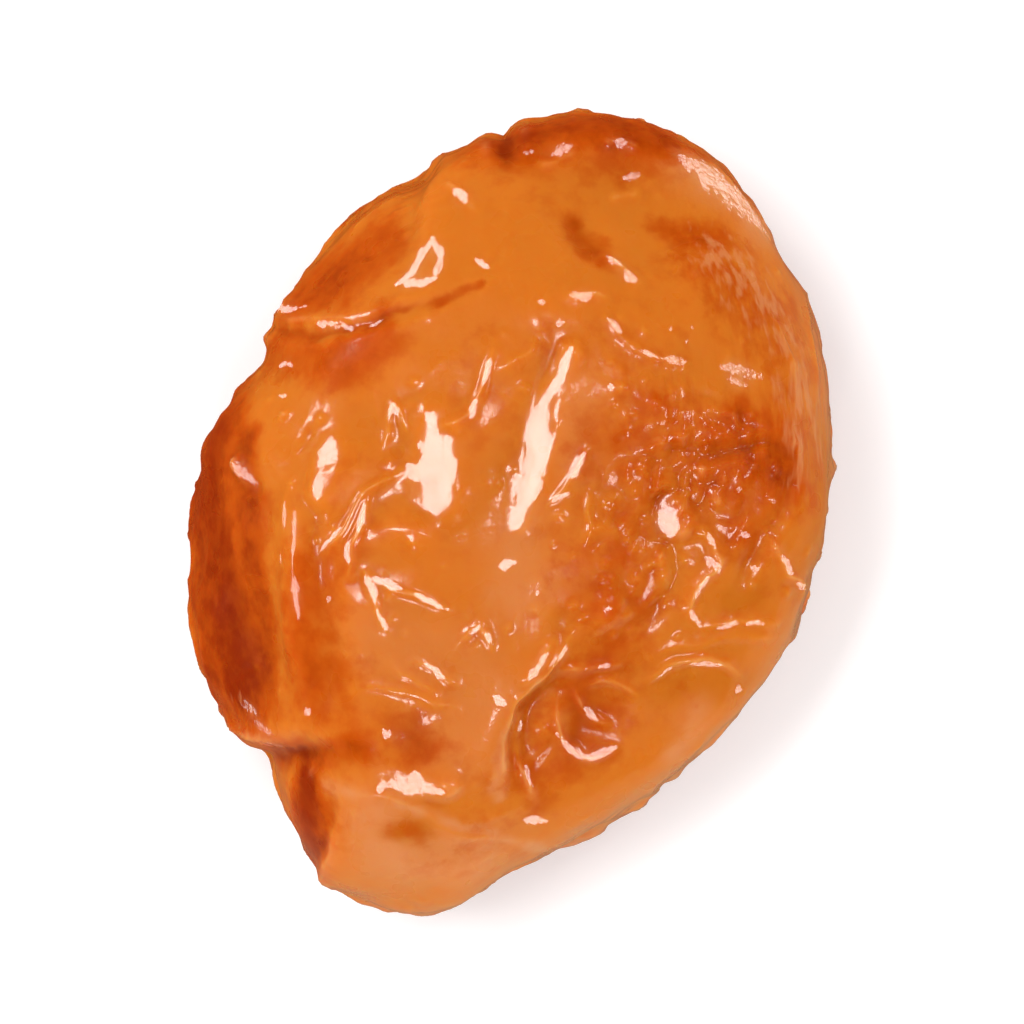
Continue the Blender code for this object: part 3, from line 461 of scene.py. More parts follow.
PALE_STAINS_AND_PAINTED_LIGHT = {
    # painted light: the foot panel is made paler as if light shone through its thin flesh
    "foot panel": Stain(2.1, 0.7, [(-6.8, -15.6), (-5.4, -18.0), (-1.6, -17.6)]),
    # painted light: the lower right edge and the patch inside it are made paler as if light shone through
    # thin flesh
    "lower right band": Stain(0.9, 1.0, [(13.4, -7.2), (10.7, -11.3), (6.5, -14.9), (2.0, -17.0)]),
    "lower right": Stain(0.9, 0.6, [(9.3, -10.4), (8.3, -12.0)]),
    "centre": Stain(1.8, 0.45, [(0.2, -1.6), (0.4, -4.2)]),
    "right of the groove": Stain(1.2, 0.25, [(3.0, 5.6), (2.8, 2.4)]),
    "lower middle": Stain(2.0, 0.3, [(-2.0, -12.2), (-1.4, -9.0)]),
    "lower left middle": Stain(2.0, 0.25, [(-6.4, -6.4), (-2.4, -7.2)]),
    # painted sheen on the right rim
    "right rim": Stain(1.2, 0.6, [(13.8, 10.4), (15.0, 6.4), (15.2, 3.0)]),
    # painted highlight along the rim facet
    "rim facet": Stain(1.6, 0.9, [(8.2, 17.2), (9.25, 16.55), (10.2, 15.65), (11.0, 14.6), (11.7, 13.5)]),
    # painted reflection on the low left fold
    "low left fold": Stain(0.4, 0.6, [(-14.0, -9.8), (-12.6, -11.1), (-11.2, -12.0)]),
    "foot edge": Stain(0.4, 0.8, [(-9.4, -13.5), (-6.2, -14.5), (-3.0, -15.8), (1.5, -16.8)]),
    "long fold": Stain(0.35, 0.8, [(1.6, -9.0), (0.4, -10.6), (-0.2, -12.6), (-0.3, -14.6)]),
}
AMBER_STAINS_AND_PAINTED_LIGHT = {
    # painted light: the right lobe and the lower right are made amber as if light shone through thin flesh
    "right lobe": Stain(2.4, 1.0, [(14.6, 1.6), (14.3, -2.2)]),
    "right side": Stain(0.9, 0.6, [(12.2, -4.6), (11.2, -5.4)]),
    "lower right": Stain(1.0, 0.5, [(8.4, -9.6), (11.2, -9.2)]),
    "panel patch": Stain(0.8, 0.9, [(-5.6, -16.4), (-4.6, -16.4)]),
}
UNDERSIDE_PAINTED_SHADE = 0.5  # painted shade: how much redder the underside is made
UNDERSIDE_SHADE_FADE = 6  # and that painted shade fades out over this height, up to the widest section

# Where the skin is finely wrinkled along the fruit
WRINKLED = {
    "right rim": Stain(3.0, 1.0, [(10.2, 12.8), (12.4, 9.6), (13.6, 6.0), (13.8, 2.6)]),
    "scar": Stain(2.6, 0.6, [(8.0, 4.6), (11.6, 3.4)]),
    "low left fold": Stain(1.2, 0.8, [(-14.0, -9.4), (-12.6, -10.9)]),
    "lower left middle": Stain(1.8, 0.4, [(-7.0, -8.0), (-3.4, -9.2)]),
}

# Where the gloss is dull, but for its glints
DULL = {
    "under the notch": Stain(1.8, 1.0, [(-9.0, 7.0), (-6.4, 7.2)]),
    "groove head": Stain(1.1, 0.9, [(1.4, 7.6), (0.8, 6.2)]),
    "left of the groove": Stain(0.8, 0.9, [(-1.0, 5.2), (-0.2, 4.8)]),
    "crater": Stain(2.2, 0.6, [(3.4, -10.2), (4.8, -11.2), (1.6, -12.4)]),
    "right lobe": Stain(2.2, 0.6, [(14.6, 1.6), (14.3, -2.2)]),
    "right of the groove": Stain(1.2, 0.8, [(3.0, 6.6), (4.8, 6.8)]),
    "boss": Stain(1.8, 0.9, [(2.0, -5.4), (3.6, -3.4), (5.4, -3.2)]),
    "fold wall": Stain(0.8, 0.8, [(2.0, -9.0), (0.6, -11.0), (0.3, -13.4)]),
    "in the V": Stain(0.6, 0.9, [(-6.6, -3.2), (-5.3, -3.4)]),
    "left of the V": Stain(0.7, 0.9, [(-8.1, -4.1), (-7.8, -3.8)]),
}

# Skin colours, linear
ORANGE = (0.61, 0.168, 0.014)
DEEP = (0.50, 0.08, 0.003)
DARK = (0.25, 0.018, 0.0005)
PALE = (0.64, 0.25, 0.09)
AMBER = (0.50, 0.13, 0.004)
BLUR_STEPS = 24  # each evens the relief out by about a face, to find the creases and the ridges

# Skin finish. A grain's size is that of its spots
FLESH_DEPTH = 3.0 * MM  # that light wanders through the flesh
FLESH_SHARES = (1.0, 0.5, 0.2)  # of that depth, for red, green and blue
BROAD_SPOTS = 5 * MM
FINE_SPOTS = 1.1 * MM
FIBRES = 0.5 * MM
FIBRE_STRETCH = 5.0
GRAIN_TURN = 0.25  # keeps the noise's own cells off the fruit's axes, in radians
GLOSS_ROUGHNESS = 0.13
GLOSS_IOR = 1.45
GLINT_RAG = 0.4 * MM  # the grain that makes the glints' edges ragged
DULL_SPOTS = 2 * MM
PORES = 0.35 * MM
PORE_STREAKS = 0.45 * MM
PORE_DEPTH = 0.04 * MM

# Lamps: soft boxes, with their sides and distance in metres
Lamp = namedtuple("Lamp", "way distance side brightness")
LAMPS = {
    "key": Lamp(TO_KEY, 2.4, (1.0, 0.48), 15),
    "top": Lamp(TO_TOP, 2.4, (0.24, 0.24), 17),
    "upper left": Lamp(TO_UPPER_LEFT, 2.4, (0.42, 0.3), 15),
    "left": Lamp(TO_LEFT, 2.4, (0.24, 0.24), 11),
    "foot": Lamp(TO_FOOT, 2.4, (0.28, 0.28), 18),
    "lower right": Lamp(TO_LOWER_RIGHT, 2.4, (0.28, 0.28), 16),
    "upper right": Lamp(TO_UPPER_RIGHT, 2.4, (0.2, 0.2), 16),
}

# Picture: a square view straight down
VIEW_SIDE = 50 * MM
LENS = 800  # from far off, so that the fruit's top and its rim are at one scale
SENSOR = 36
FOCUS_HEIGHT = RIM_HEIGHT * MM  # where the picture is VIEW_SIDE wide
FLOOR_SIDE = 1.6
FLOOR = (0.93, 0.93, 0.93)
FLOOR_GLOW = 0.15  # keeps the shadow pale
STUDIO_GLOW = 0.8  # of the white all round
GLOSS_DARK = (0.35, 0.05, 0.005)  # what the skin mirrors of the floor on its upper left
GLOSS_PALE = (0.40, 0.28, 0.18)  # and on its lower right
GLOSS_AZIMUTH = -45
GLOSS_RANGE = -12 * MM, 24 * MM


def outline_radius(azimuth):
    """The plan outline's radius: a smooth closed curve through OUTLINE_RADII."""
    count = len(OUTLINE_RADII)
    step = (azimuth / math.tau * count) % count
    index = np.floor(step).astype(int)
    f = step - index
    before, start, end, after = (OUTLINE_RADII[(index + k) % count] for k in (-1, 0, 1, 2))
    bend = 2 * before - 5 * start + 4 * end - after + f * (3 * (start - end) + after - before)
    return start + 0.5 * f * (end - before + f * bend)


def body_places(directions):
    """Where each unit direction meets the smooth body."""
    x, y, z = directions.T
    full = (np.hypot(x, y) ** FULLNESS + np.abs(z) ** FULLNESS) ** (-1 / FULLNESS)
    radius = outline_radius(np.arctan2(y, x)) * full
    rise = np.where(z > 0, TOP_RISE, UNDER_DROP)
    return np.stack([x * radius, y * radius, RIM_HEIGHT + z * full * rise], axis=1)


def on_body(plan_points):
    """The places on the smooth body over these plan points, or under it for points beyond the outline."""
    x, y = np.asarray(plan_points, float).T
    azimuth = np.arctan2(y, x)
    radius = outline_radius(azimuth)
    share = np.hypot(x, y) / radius
    inward = np.where(share > 1, 2 - share, share).clip(0, 1)
    level = (1 - inward**FULLNESS).clip(0) ** (1 / FULLNESS)
    z = RIM_HEIGHT + np.where(share > 1, -UNDER_DROP, TOP_RISE) * level
    return np.stack([inward * radius * np.cos(azimuth), inward * radius * np.sin(azimuth), z], axis=1)


def smooth_route(points):
    """A Catmull-Rom curve through a route's points."""
    points = np.asarray(points, float)
    ends = np.vstack([2 * points[0] - points[1], points, 2 * points[-1] - points[-2]])
    curve = []
    for before, start, end, after in zip(ends, ends[1:], ends[2:], ends[3:]):
        for f in np.arange(ROUTE_STEPS) / ROUTE_STEPS:
            bend = 2 * before - 5 * start + 4 * end - after + f * (3 * (start - end) + after - before)
            curve.append(start + 0.5 * f * (end - before + f * bend))
    curve.append(points[-1])
    return np.array(curve)


def smoothstep(low, high, values):
    t = ((values - low) / (high - low)).clip(0, 1)
    return t * t * (3 - 2 * t)


def noise(places, size, seed):
    """Perlin noise from about -1 to 1, with swells of about this size in millimetres."""
    slopes = np.random.default_rng(seed).normal(size=(NOISE_CELLS, NOISE_CELLS, NOISE_CELLS, 3))
    slopes /= np.linalg.norm(slopes, axis=3, keepdims=True)
    scaled = places / size
    cell = np.floor(scaled).astype(int)
    inside = scaled - cell
    ease = inside**3 * (inside * (inside * 6 - 15) + 10)
    total = np.zeros(len(places))
    for corner in np.ndindex(2, 2, 2):
        x, y, z = ((cell + corner) % NOISE_CELLS).T
        share = np.where(corner, ease, 1 - ease).prod(axis=1)
        total += share * ((inside - corner) * slopes[x, y, z]).sum(axis=1)
    return 1.5 * total


def shaken(places, reach, size, seed):
    """The places, each moved by smooth noise, which makes what is drawn on them uneven."""
    return places + reach * np.stack([noise(places, size, seed + k) for k in range(3)], axis=1)


def shaken_twice(places, coarse, fine):
    return shaken(shaken(places, *coarse), *fine)


def spot(places, middle, reach):
    """A round spot on the body: 1 in its middle, dying away round it."""
    return np.exp(-((np.linalg.norm(places - on_body([middle]), axis=1) / reach) ** 2))


def at_least(least, share):
    """The share, raised so that nought becomes the least."""
    return least + (1 - least) * share


def nearest_on(route, places, reach):
    """For the places within reach of a route: which they are, the offset from its nearest point, the way that
    the route runs there, and that point's share of its length."""
    line = on_body(smooth_route(route))
    runs = line[1:] - line[:-1]
    lengths = np.linalg.norm(runs, axis=1)
    starts = np.concatenate([[0], np.cumsum(lengths)])
    low, high = line.min(axis=0) - reach, line.max(axis=0) + reach
    near = np.flatnonzero(((places > low) & (places < high)).all(axis=1))
    offset = np.full((len(near), 3), 1e3)
    along = np.zeros((len(near), 3))
    share = np.zeros(len(near))
    for corner, run, length, start in zip(line, runs, lengths, starts):
        away = places[near] - corner
        t = (away @ run / max(length**2, 1e-12)).clip(0, 1)
        away -= t[:, None] * run
        closer = (away**2).sum(axis=1) < (offset**2).sum(axis=1)
        offset[closer] = away[closer]
        along[closer] = run / max(length, 1e-6)
        share[closer] = ((start + t * length) / starts[-1])[closer]
    return near, offset, along, share


def run_out(share):
    return smoothstep(0, RUN_OUT, share) * smoothstep(1, 1 - RUN_OUT, share)


def fold_relief(fold, places):
    """How far one fold raises the skin at each place."""
    near, offset, _, share = nearest_on(fold.route, places, 5 * fold.half_width)
    across = np.linalg.norm(offset, axis=1) / fold.half_width
    if fold.height < 0:  # the flesh bulges beside a crease
        crest = np.exp(-0.8 * across**2) - 0.2 * np.exp(-((across - 2.2) ** 2))
    else:
        crest = np.exp(-1.2 * (np.sqrt(across**2 + 0.05) - 0.22))
    relief = np.zeros(len(places))
    relief[near] = fold.height * run_out(share) * crest * smoothstep(5, 3, across)
    return relief


def step_relief(step, places):
    """How far one step raises the skin on the left of its route and lowers it on the right."""
    near, offset, along, share = nearest_on(step.route, places, 2 * STEP_REACH)
    outward = places[near] - (0, 0, RIM_HEIGHT)
    outward /= np.linalg.norm(outward, axis=1)[:, None]
    left = (np.cross(outward, along) * offset).sum(axis=1)
    fade = np.exp(-(offset**2).sum(axis=1) / STEP_REACH**2)
    relief = np.zeros(len(places))
    relief[near] = 0.5 * step.drop * np.tanh(left / step.half_width) * fade * run_out(share)
    return relief


def facing(azimuth, elevation):
    azimuth, elevation = math.radians(azimuth), math.radians(elevation)
    level = math.cos(elevation)
    return np.array([math.cos(azimuth) * level, math.sin(azimuth) * level, math.sin(elevation)])


def flatten_facet(facet, places, pressed, outward, relief):
    """Turns a strip of the skin to face one way, raising more of it than it cuts."""
    near, offset, _, _ = nearest_on(facet.route, places, 2.4 * facet.reach)
    share = np.exp(-((np.linalg.norm(offset, axis=1) / facet.reach) ** 3))
    normal = facing(facet.azimuth, facet.elevation)
    middle = (pressed[near] * share[:, None]).sum(axis=0) / share.sum()
    plane = (middle - pressed[near]) @ normal / (outward[near] @ normal)
    level = np.quantile((relief[near] - plane)[share > 0.4], FACET_LEVEL)
    relief[near] += share * (level + plane - relief[near]).clip(-FACET_MOST, FACET_MOST)


def scattered_folds(wrinkles):
    """Short curved folds scattered over the whole skin."""
    rng = random.Random(wrinkles.seed)
    for _ in range(wrinkles.count):
        share = min(2 * math.sqrt(rng.random()), 1.97)
        azimuth = rng.uniform(0, math.tau)
        radius = share * float(outline_radius(np.array([azimuth]))[0])
        x, y = radius * math.cos(azimuth), radius * math.sin(azimuth)
        around = math.pi / 2 if rng.random() < 0.4 else 0
        heading = azimuth + around + rng.uniform(-1.2, 1.2)
        step = rng.uniform(*wrinkles.length) / 5
        bend = rng.uniform(-0.16, 0.16) * step
        route = []
        for _ in range(6):
            route.append((x, y))
            x += step * math.cos(heading)
            y += step * math.sin(heading)
            heading += bend
        side = -1 if rng.random() < 0.45 else 1
        half_width = rng.uniform(*wrinkles.half_width)
        yield Fold(half_width, side * half_width * rng.uniform(*wrinkles.height), route)


def crumple(places):
    """The puckering between the folds: rounded ridges along the noughts of a warped noise."""
    warped = shaken_twice(places, *PUCKERED)
    coarse = 1 - np.sqrt((2.2 * noise(warped, 3.4, 41)) ** 2 + 0.006)
    fine = 1 - np.sqrt((2.2 * noise(warped, 1.7, 42)) ** 2 + 0.006)
    return 0.42 * coarse + 0.2 * fine * (0.4 + 0.6 * coarse)


def cobbles(places):
    """Low round bumps close together, about a millimetre across."""
    warped = shaken(places, 0.3, 1.5, 71)
    return np.sqrt((2.2 * noise(warped, 1.3, 74)) ** 2 + 0.01) + 0.4 * np.abs(noise(warped, 0.7, 75))


def swell_relief(places):
    return sum(swell.height * spot(places, swell.place, swell.reach) for swell in SWELLS.values())


def lump_relief(lumps, places):
    return lumps.height * noise(places, lumps.size, lumps.seed)


def pimple_relief(places):
    """Small round bumps, half of them round the scar and half all over."""
    rng = random.Random(PIMPLE_SEED)
    scar = SWELLS["scar hollow"]
    relief = np.zeros(len(places))
    for k in range(PIMPLE_COUNT):
        if k % 2:
            place = [at + rng.gauss(0, PIMPLE_SPREAD) * scar.reach for at in scar.place]
        else:
            place = [rng.uniform(-side, side) for side in PIMPLE_FIELD]
        reach = rng.uniform(*PIMPLE_REACH)
        middle = on_body([place])
        near = np.flatnonzero(np.abs(places - middle).max(axis=1) < 3 * reach)
        away = np.linalg.norm(places[near] - middle, axis=1)
        relief[near] += PIMPLE_HEIGHT * reach * np.exp(-((away / reach) ** 2))
    return relief


def skin_relief(places, pressed, outward):
    """How far the dried skin stands out, in millimetres, from the smooth body once its flats are pressed in.
    outward is the pressed body's normals."""
    side = 1 - smoothstep(SIDE_FULL, SIDE_STARTS, places[:, 2])
    calm = 1 - RIM_CALM * np.exp(-(((places[:, 2] - RIM_HEIGHT) / CALM_REACH) ** 2))
    scarred = spot(places, SWELLS["scar hollow"].place, SCARRED_REACH)
    bumpy = spot(places, BUMPY_MIDDLE, BUMPY_REACH)
    uneven = shaken_twice(places, *UNEVEN)
    rough = shaken_twice(places, *ROUGH)
    relief = swell_relief(uneven)
    relief += sum(lump_relief(lumps, places) for lumps in LUMPS)
    relief += sum(step_relief(step, uneven) for step in STEPS.values())
    relief += sum(fold_relief(fold, uneven) for fold in CREASES.values())
    wrinkles = sum(fold_relief(fold, rough) for fold in scattered_folds(SIDE_WRINKLES))
    relief += wrinkles * at_least(WRINKLES_ON_TOP, side) * calm
    crumpled = at_least(CRUMPLE_ON_TOP, side) + CRUMPLE_IN_SCAR * scarred
    relief += crumple(places) * crumpled.clip(0, 1) * calm
    relief += cobbles(places) * (SCAR_COBBLES * scarred + BUMPY_COBBLES * bumpy)
    for facet in FACETS.values():
        flatten_facet(facet, uneven, pressed, outward, relief)
    streaked = places @ STREAK_AXES.T / STREAK_SIZE
    relief += lump_relief(STREAKS, streaked) + lump_relief(GRIT, places)
    relief += sum(fold_relief(fold, uneven) for fold in RIDGES.values())
    fine = sum(fold_relief(fold, rough) for fold in scattered_folds(FINE_WRINKLES))
    relief += fine * at_least(FINE_ON_TOP, side) + pimple_relief(uneven)
    return relief * at_least(LEVEL_RELIEF, smoothstep(0, LEVEL_FADE, places[:, 2]))


def gloss_turns(places):
    """How far the gloss is turned at each place, up to GLINT_TURN, and the way that it is turned to."""
    uneven = shaken_twice(places, *UNEVEN)
    turn = np.zeros(len(places))
    faces = np.zeros((len(places), 3))
    for way, strips in GLINTS.items():
        for reach, route in strips:
            near, offset, _, share = nearest_on(route, uneven, 2 * reach)
            tapered = reach * at_least(GLINT_ENDS, run_out(share))
            away = np.linalg.norm(offset, axis=1) / tapered
            here = GLINT_TURN * np.exp(-GLINT_FALL * away**GLINT_EDGE)
            further = here > turn[near]
            turn[near[further]] = here[further]
            faces[near[further]] = facing(*way)
    return turn, faces


def press_flats(places):
    """Flattens the body softly where its sides have dried flat."""
    pressed = places.copy()
    for flat in FLATS.values():
        normal = facing(flat.azimuth, flat.elevation)
        outward = places @ normal
        beyond = (outward - outward.max() + flat.depth) / flat.softness
        pressed -= flat.softness * np.logaddexp(0, beyond)[:, None] * normal
    return pressed


def coordinates(mesh):
    values = np.empty(len(mesh.vertices) * 3, np.float32)
    mesh.vertices.foreach_get("co", values)
    return values.reshape(-1, 3).astype(float)


def normals(mesh):
    values = np.empty(len(mesh.vertices) * 3, np.float32)
    mesh.vertices.foreach_get("normal", values)
    return values.reshape(-1, 3).astype(float)


def move_to(mesh, places):
    mesh.vertices.foreach_set("co", places.astype(np.float32).ravel())
    mesh.update()


def stained(places, stains):
    """How strong this kind of stain is at each place, from 0 to 1, with uneven edges."""
    blotchy = shaken_twice(places, *BLOTCHY)
    strength = np.zeros(len(places))
    for stain in stains.values():
        near, offset, _, _ = nearest_on(stain.route, blotchy, 2.5 * stain.reach)
        away = np.linalg.norm(offset, axis=1) / stain.reach
        strength[near] = np.maximum(strength[near], stain.strength * np.exp(-(away**STAIN_EDGE)))
    return strength


def add_mask(mesh, name, values):
    mask = mesh.attributes.new(name, "FLOAT", "POINT")
    mask.data.foreach_set("value", values.astype(np.float32))


def blurred(mesh, values):
    """The values evened out over a few faces of the mesh."""
    ends = np.empty(len(mesh.edges) * 2, np.int32)
    mesh.edges.foreach_get("vertices", ends)
    first, second = ends.reshape(-1, 2).T
    count = np.bincount(ends, minlength=len(values))
    for _ in range(BLUR_STEPS):
        total = np.bincount(first, values[second], len(values))
        total += np.bincount(second, values[first], len(values))
        values = 0.5 * values + 0.5 * total / count
    return values


def skin_mesh():
    """The fruit's skin as a closed mesh in millimetres, not yet cut level."""
    mesh = bpy.data.meshes.new("plum_skin")
    bm = bmesh.new()
    bmesh.ops.create_cube(bm, size=2)
    bmesh.ops.subdivide_edges(bm, edges=bm.edges[:], cuts=SURFACE_CUTS, use_grid_fill=True)
    bm.to_mesh(mesh)
    bm.free()
    spread = np.tan(coordinates(mesh) * math.pi / 4)  # evens out the faces on the sphere
    directions = spread / np.linalg.norm(spread, axis=1)[:, None] * CROWDING + LIFT
    directions /= np.linalg.norm(directions, axis=1)[:, None]
    body = body_places(directions)
    pressed = press_flats(body)
    move_to(mesh, pressed)
    outward = normals(mesh)
    relief = skin_relief(body, pressed, outward)
    move_to(mesh, pressed + outward * relief[:, None])
    # painted shade: the underside is made redder, fading out up to the widest section, and the red mask
    # carries it with the red stains
    under = 1 - smoothstep(RIM_HEIGHT - UNDERSIDE_SHADE_FADE, RIM_HEIGHT, body[:, 2])
    # relief above its evened-out surroundings: the shader paints shade into the creases and sheen on to the
    # ridges from it
    add_mask(mesh, "crest", relief - blurred(mesh, relief))
    add_mask(mesh, "red", np.maximum(stained(body, RED_STAINS_AND_SHADE), UNDERSIDE_PAINTED_SHADE * under))
    # pale and amber stains, much of them painted light and painted sheen
    add_mask(mesh, "pale", stained(body, PALE_STAINS_AND_PAINTED_LIGHT))
    add_mask(mesh, "amber", stained(body, AMBER_STAINS_AND_PAINTED_LIGHT))
    add_mask(mesh, "wrinkled", stained(body, WRINKLED))
    add_mask(mesh, "dull", stained(body, DULL))
    turn, faces = gloss_turns(body)
    add_mask(mesh, "glint", turn)
    # painted sheen: the colour is made paler round the glints, from this blurred glint mask
    add_mask(mesh, "painted_glint_sheen", blurred(mesh, turn))
    ways = mesh.attributes.new("glint_way", "FLOAT_VECTOR", "POINT")
    ways.data.foreach_set("vector", faces.astype(np.float32).ravel())
    return mesh


def cut_level(mesh):
    """Cuts the underside off at the table, so that the fruit rests on a small flat."""
    bm = bmesh.new()
    bm.from_mesh(mesh)
    everything = bm.verts[:] + bm.edges[:] + bm.faces[:]
    bmesh.ops.bisect_plane(bm, geom=everything, plane_co=(0, 0, 0), plane_no=(0, 0, -1), clear_outer=True)
    bmesh.ops.holes_fill(bm, edges=[edge for edge in bm.edges if edge.is_boundary], sides=0)
    bmesh.ops.recalc_face_normals(bm, faces=bm.faces)
    bm.to_mesh(mesh)
    bm.free()


def set_in_frame(mesh):
    """Turns the skin to metres, in the place where the solid is."""
    low, high = (np.array(corner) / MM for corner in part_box("dried_plum"))
    wanted = (low + high) / 2
    places = coordinates(mesh)
    middle = (places.min(axis=0) + places.max(axis=0)) / 2
    move_to(mesh, (places - (*middle[:2], 0) + (*wanted[:2], 0)) * MM)


def new_node(material, kind, **inputs):
    made = material.node_tree.nodes.new(kind)
    for name, value in inputs.items():
        made.inputs[name.replace("_", " ")].default_value = value
    return made


def link(material, source, target):
    material.node_tree.links.new(source, target)


def mixed(material, factor, first, second):
    """A colour between two others. Each is a colour or a node's output."""
    mix = material.node_tree.nodes.new("ShaderNodeMix")
    mix.data_type = "RGBA"
    for socket, value in zip((mix.inputs[0], mix.inputs[6], mix.inputs[7]), (factor, first, second)):
        if isinstance(value, bpy.types.NodeSocket):
            link(material, value, socket)
        else:
            socket.default_value = value if isinstance(value, float) else (*value, 1)
    return mix.outputs[2]


def mask(material, name):
    attribute = material.node_tree.nodes.new("ShaderNodeAttribute")
    attribute.attribute_name = name
    return attribute.outputs["Fac"]


def in_range(material, value, low, high, to_low=0.0, to_high=1.0):
    ranged = material.node_tree.nodes.new("ShaderNodeMapRange")
    ranged.interpolation_type = "SMOOTHSTEP"
    for socket, number in zip(ranged.inputs[1:5], (low, high, to_low, to_high)):
        socket.default_value = number
    link(material, value, ranged.inputs[0])
    return ranged.outputs[0]


def worked(material, operation, first, second):
    """What a Math node makes of two values. Each is a number or a node's output."""
    worked_out = material.node_tree.nodes.new("ShaderNodeMath")
    worked_out.operation = operation
    for socket, value in zip(worked_out.inputs, (first, second)):
        if isinstance(value, bpy.types.NodeSocket):
            link(material, value, socket)
        else:
            socket.default_value = value
    return worked_out.outputs[0]


def summed(material, first, second):
    return worked(material, "ADD", first, second)


def grain(material, size, detail=2.0, roughness=0.5, stretch=1.0):
    """Noise over the object: spots of about this size in metres, drawn out along the fruit by stretch."""
    where = material.node_tree.nodes.new("ShaderNodeTexCoord")
    scaled = new_node(material, "ShaderNodeMapping", Rotation=(0, 0, GRAIN_TURN), Scale=(1, 1 / stretch, 1))
    spots = new_node(material, "ShaderNodeTexNoise", Scale=1 / size, Detail=detail, Roughness=roughness)
    link(material, where.outputs["Object"], scaled.inputs["Vector"])
    link(material, scaled.outputs["Vector"], spots.inputs["Vector"])
    return spots.outputs["Fac"]


def glinting(material):
    """The way that the gloss faces: the skin's own, turned in the glints, which have ragged edges."""
    edge = in_range(material, grain(material, GLINT_RAG, 3.0, stretch=4.0), 0.35, 0.65, -0.4, 0.15)
    turn = in_range(material, summed(material, mask(material, "glint"), edge), 0.2, 0.65)
    skin_way = material.node_tree.nodes.new("ShaderNodeNewGeometry")
    way = material.node_tree.nodes.new("ShaderNodeAttribute")
    way.attribute_name = "glint_way"
    mix = material.node_tree.nodes.new("ShaderNodeMix")
    mix.data_type = "VECTOR"
    link(material, turn, mix.inputs[0])
    link(material, skin_way.outputs["Normal"], mix.inputs[4])
    link(material, way.outputs["Vector"], mix.inputs[5])
    unit = material.node_tree.nodes.new("ShaderNodeVectorMath")
    unit.operation = "NORMALIZE"
    link(material, mix.outputs[1], unit.inputs[0])
    return unit.outputs["Vector"]


def redness_and_shade(skin, fibres):
    """How red the flesh is made: its stains, spots and fibres, and painted shade in its creases."""
    broad = in_range(skin, grain(skin, BROAD_SPOTS, 3.0), 0.35, 0.7, -0.08, 0.12)
    fine = in_range(skin, grain(skin, FINE_SPOTS, 4.0, 0.6), 0.35, 0.7, -0.08, 0.13)
    red = summed(skin, summed(skin, mask(skin, "red"), broad), fine)
    red = summed(skin, red, in_range(skin, fibres, 0.1, 0.4, 0.0, 0.2))
    # painted shade: the creases are made a darker red
    return summed(skin, red, in_range(skin, mask(skin, "crest"), -0.02, -0.2, 0.0, 0.32))


def skin_colour(skin, fibres):
    """Orange flesh, darker where redder, paler on the fibres, and painted sheen on the ridges and round the
    glints.
    """
    red = redness_and_shade(skin, fibres)
    colour = mixed(skin, mask(skin, "pale"), ORANGE, PALE)
    colour = mixed(skin, mask(skin, "amber"), colour, AMBER)
    colour = mixed(skin, in_range(skin, red, 0.0, 0.5), colour, DEEP)
    colour = mixed(skin, in_range(skin, red, 0.4, 1.0), colour, DARK)
    # painted sheen: the ridges are made paler
    colour = mixed(skin, in_range(skin, mask(skin, "crest"), 0.03, 0.2, 0.0, 0.5), colour, PALE)
    # painted sheen round the glints
    colour = mixed(skin, in_range(skin, mask(skin, "painted_glint_sheen"), 0.1, 1.0, 0.0, 0.6), colour, PALE)
    return mixed(skin, in_range(skin, fibres, 0.42, 0.62, 0.0, 0.6), colour, PALE)


def skin_material():
    """Translucent flesh under a wet gloss."""
    skin = bpy.data.materials.new("dried_skin")
    skin.use_nodes = True
    shader = skin.node_tree.nodes["Principled BSDF"]
    fibres = grain(skin, FIBRES, 2.0, stretch=FIBRE_STRETCH)
    fibres = worked(skin, "MULTIPLY", fibres, mask(skin, "wrinkled"))
    link(skin, skin_colour(skin, fibres), shader.inputs["Base Color"])
    shader.inputs["Subsurface Weight"].default_value = 1.0
    shader.inputs["Subsurface Radius"].default_value = FLESH_SHARES
    shader.inputs["Subsurface Scale"].default_value = FLESH_DEPTH
    shader.inputs["Specular IOR Level"].default_value = 0.2
    dull = worked(skin, "SUBTRACT", mask(skin, "dull"), mask(skin, "glint"))
    link(skin, in_range(skin, dull, 0.0, 1.0, 1.0, 0.0), shader.inputs["Coat Weight"])
    shader.inputs["Coat Roughness"].default_value = GLOSS_ROUGHNESS
    shader.inputs["Coat IOR"].default_value = GLOSS_IOR
    link(skin, in_range(skin, grain(skin, DULL_SPOTS), 0.3, 0.7, 0.25, 0.4), shader.inputs["Roughness"])
    pores = summed(skin, grain(skin, PORES, 3.0), grain(skin, PORE_STREAKS, 2.0, stretch=6.0))
    pores = summed(skin, pores, worked(skin, "MULTIPLY", fibres, 6.0))
    for facing_way, socket in ((None, "Normal"), (glinting(skin), "Coat Normal")):
        bump = new_node(skin, "ShaderNodeBump", Strength=0.3, Distance=PORE_DEPTH)
        link(skin, pores, bump.inputs["Height"])
        if facing_way:
            link(skin, facing_way, bump.inputs["Normal"])
        link(skin, bump.outputs["Normal"], shader.inputs[socket])
    return skin


def make_plum():
    mesh = skin_mesh()
    cut_level(mesh)
    set_in_frame(mesh)
    mesh.materials.append(skin_material())
    mesh.shade_smooth()
    plum = bpy.data.objects.new("plum_skin", mesh)
    bpy.context.scene.collection.objects.link(plum)
    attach(plum, "root")
    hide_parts("dried_plum")


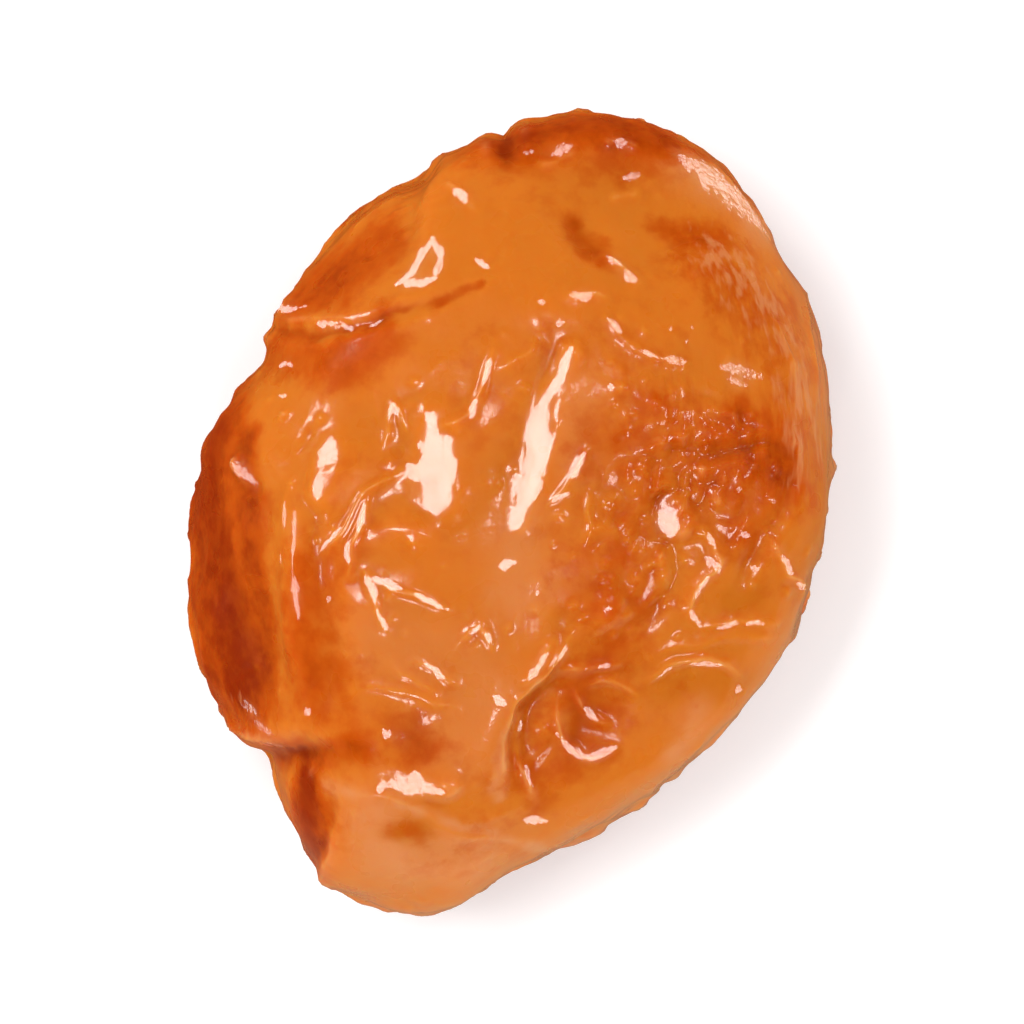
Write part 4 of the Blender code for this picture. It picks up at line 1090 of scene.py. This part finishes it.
def make_floor():
    material = bpy.data.materials.new("pale_floor")
    material.use_nodes = True
    shader = material.node_tree.nodes["Principled BSDF"]
    ray = material.node_tree.nodes.new("ShaderNodeLightPath")
    where = new_node(material, "ShaderNodeTexCoord")
    across = material.node_tree.nodes.new("ShaderNodeVectorMath")
    across.operation = "DOT_PRODUCT"
    link(material, where.outputs["Object"], across.inputs[0])
    across.inputs[1].default_value = facing(GLOSS_AZIMUTH, 0)
    pale = in_range(material, across.outputs["Value"], *GLOSS_RANGE)
    in_gloss = mixed(material, pale, GLOSS_DARK, GLOSS_PALE)
    glossy = ray.outputs["Is Glossy Ray"]
    link(material, mixed(material, glossy, FLOOR, in_gloss), shader.inputs["Base Color"])
    link(material, mixed(material, glossy, (1, 1, 1), (0, 0, 0)), shader.inputs["Emission Color"])
    shader.inputs["Emission Strength"].default_value = FLOOR_GLOW
    shader.inputs["Roughness"].default_value = 0.8
    shader.inputs["Specular IOR Level"].default_value = 0.1
    mesh = bpy.data.meshes.new("floor")
    bm = bmesh.new()
    bmesh.ops.create_grid(bm, x_segments=1, y_segments=1, size=FLOOR_SIDE / 2)
    bm.to_mesh(mesh)
    bm.free()
    mesh.materials.append(material)
    floor = bpy.data.objects.new("floor", mesh)
    bpy.context.scene.collection.objects.link(floor)


def make_lamp(name, lamp):
    """A soft box in the way that flats facing lamp.way mirror straight up."""
    data = bpy.data.lights.new(name, "AREA")
    data.shape = "RECTANGLE"
    data.size, data.size_y = lamp.side
    data.energy = lamp.brightness * math.pi * lamp.side[0] * lamp.side[1]
    lamp_object = bpy.data.objects.new(name, data)
    azimuth, elevation = lamp.way
    way = Vector(facing(azimuth, 2 * elevation - 90))
    lamp_object.location = way * lamp.distance
    lamp_object.rotation_mode = "QUATERNION"
    lamp_object.rotation_quaternion = way.to_track_quat("Z", "Y")
    bpy.context.scene.collection.objects.link(lamp_object)


def make_lights():
    world = bpy.data.worlds.new("studio")
    world.use_nodes = True
    background = world.node_tree.nodes["Background"]
    background.inputs["Color"].default_value = (1, 1, 1, 1)
    background.inputs["Strength"].default_value = STUDIO_GLOW
    world.cycles_visibility.glossy = False  # the skin mirrors the lamps and the floor alone
    bpy.context.scene.world = world
    for name, lamp in LAMPS.items():
        make_lamp(name, lamp)


def make_camera():
    camera = bpy.data.cameras.new("camera")
    camera.lens = LENS
    camera.sensor_width = SENSOR
    camera_object = bpy.data.objects.new("camera", camera)
    camera_object.location = (0, 0, FOCUS_HEIGHT + VIEW_SIDE * LENS / SENSOR)
    bpy.context.scene.collection.objects.link(camera_object)
    bpy.context.scene.camera = camera_object


make_plum()
make_floor()
make_lights()
make_camera()
bpy.context.scene.view_settings.view_transform = "Standard"
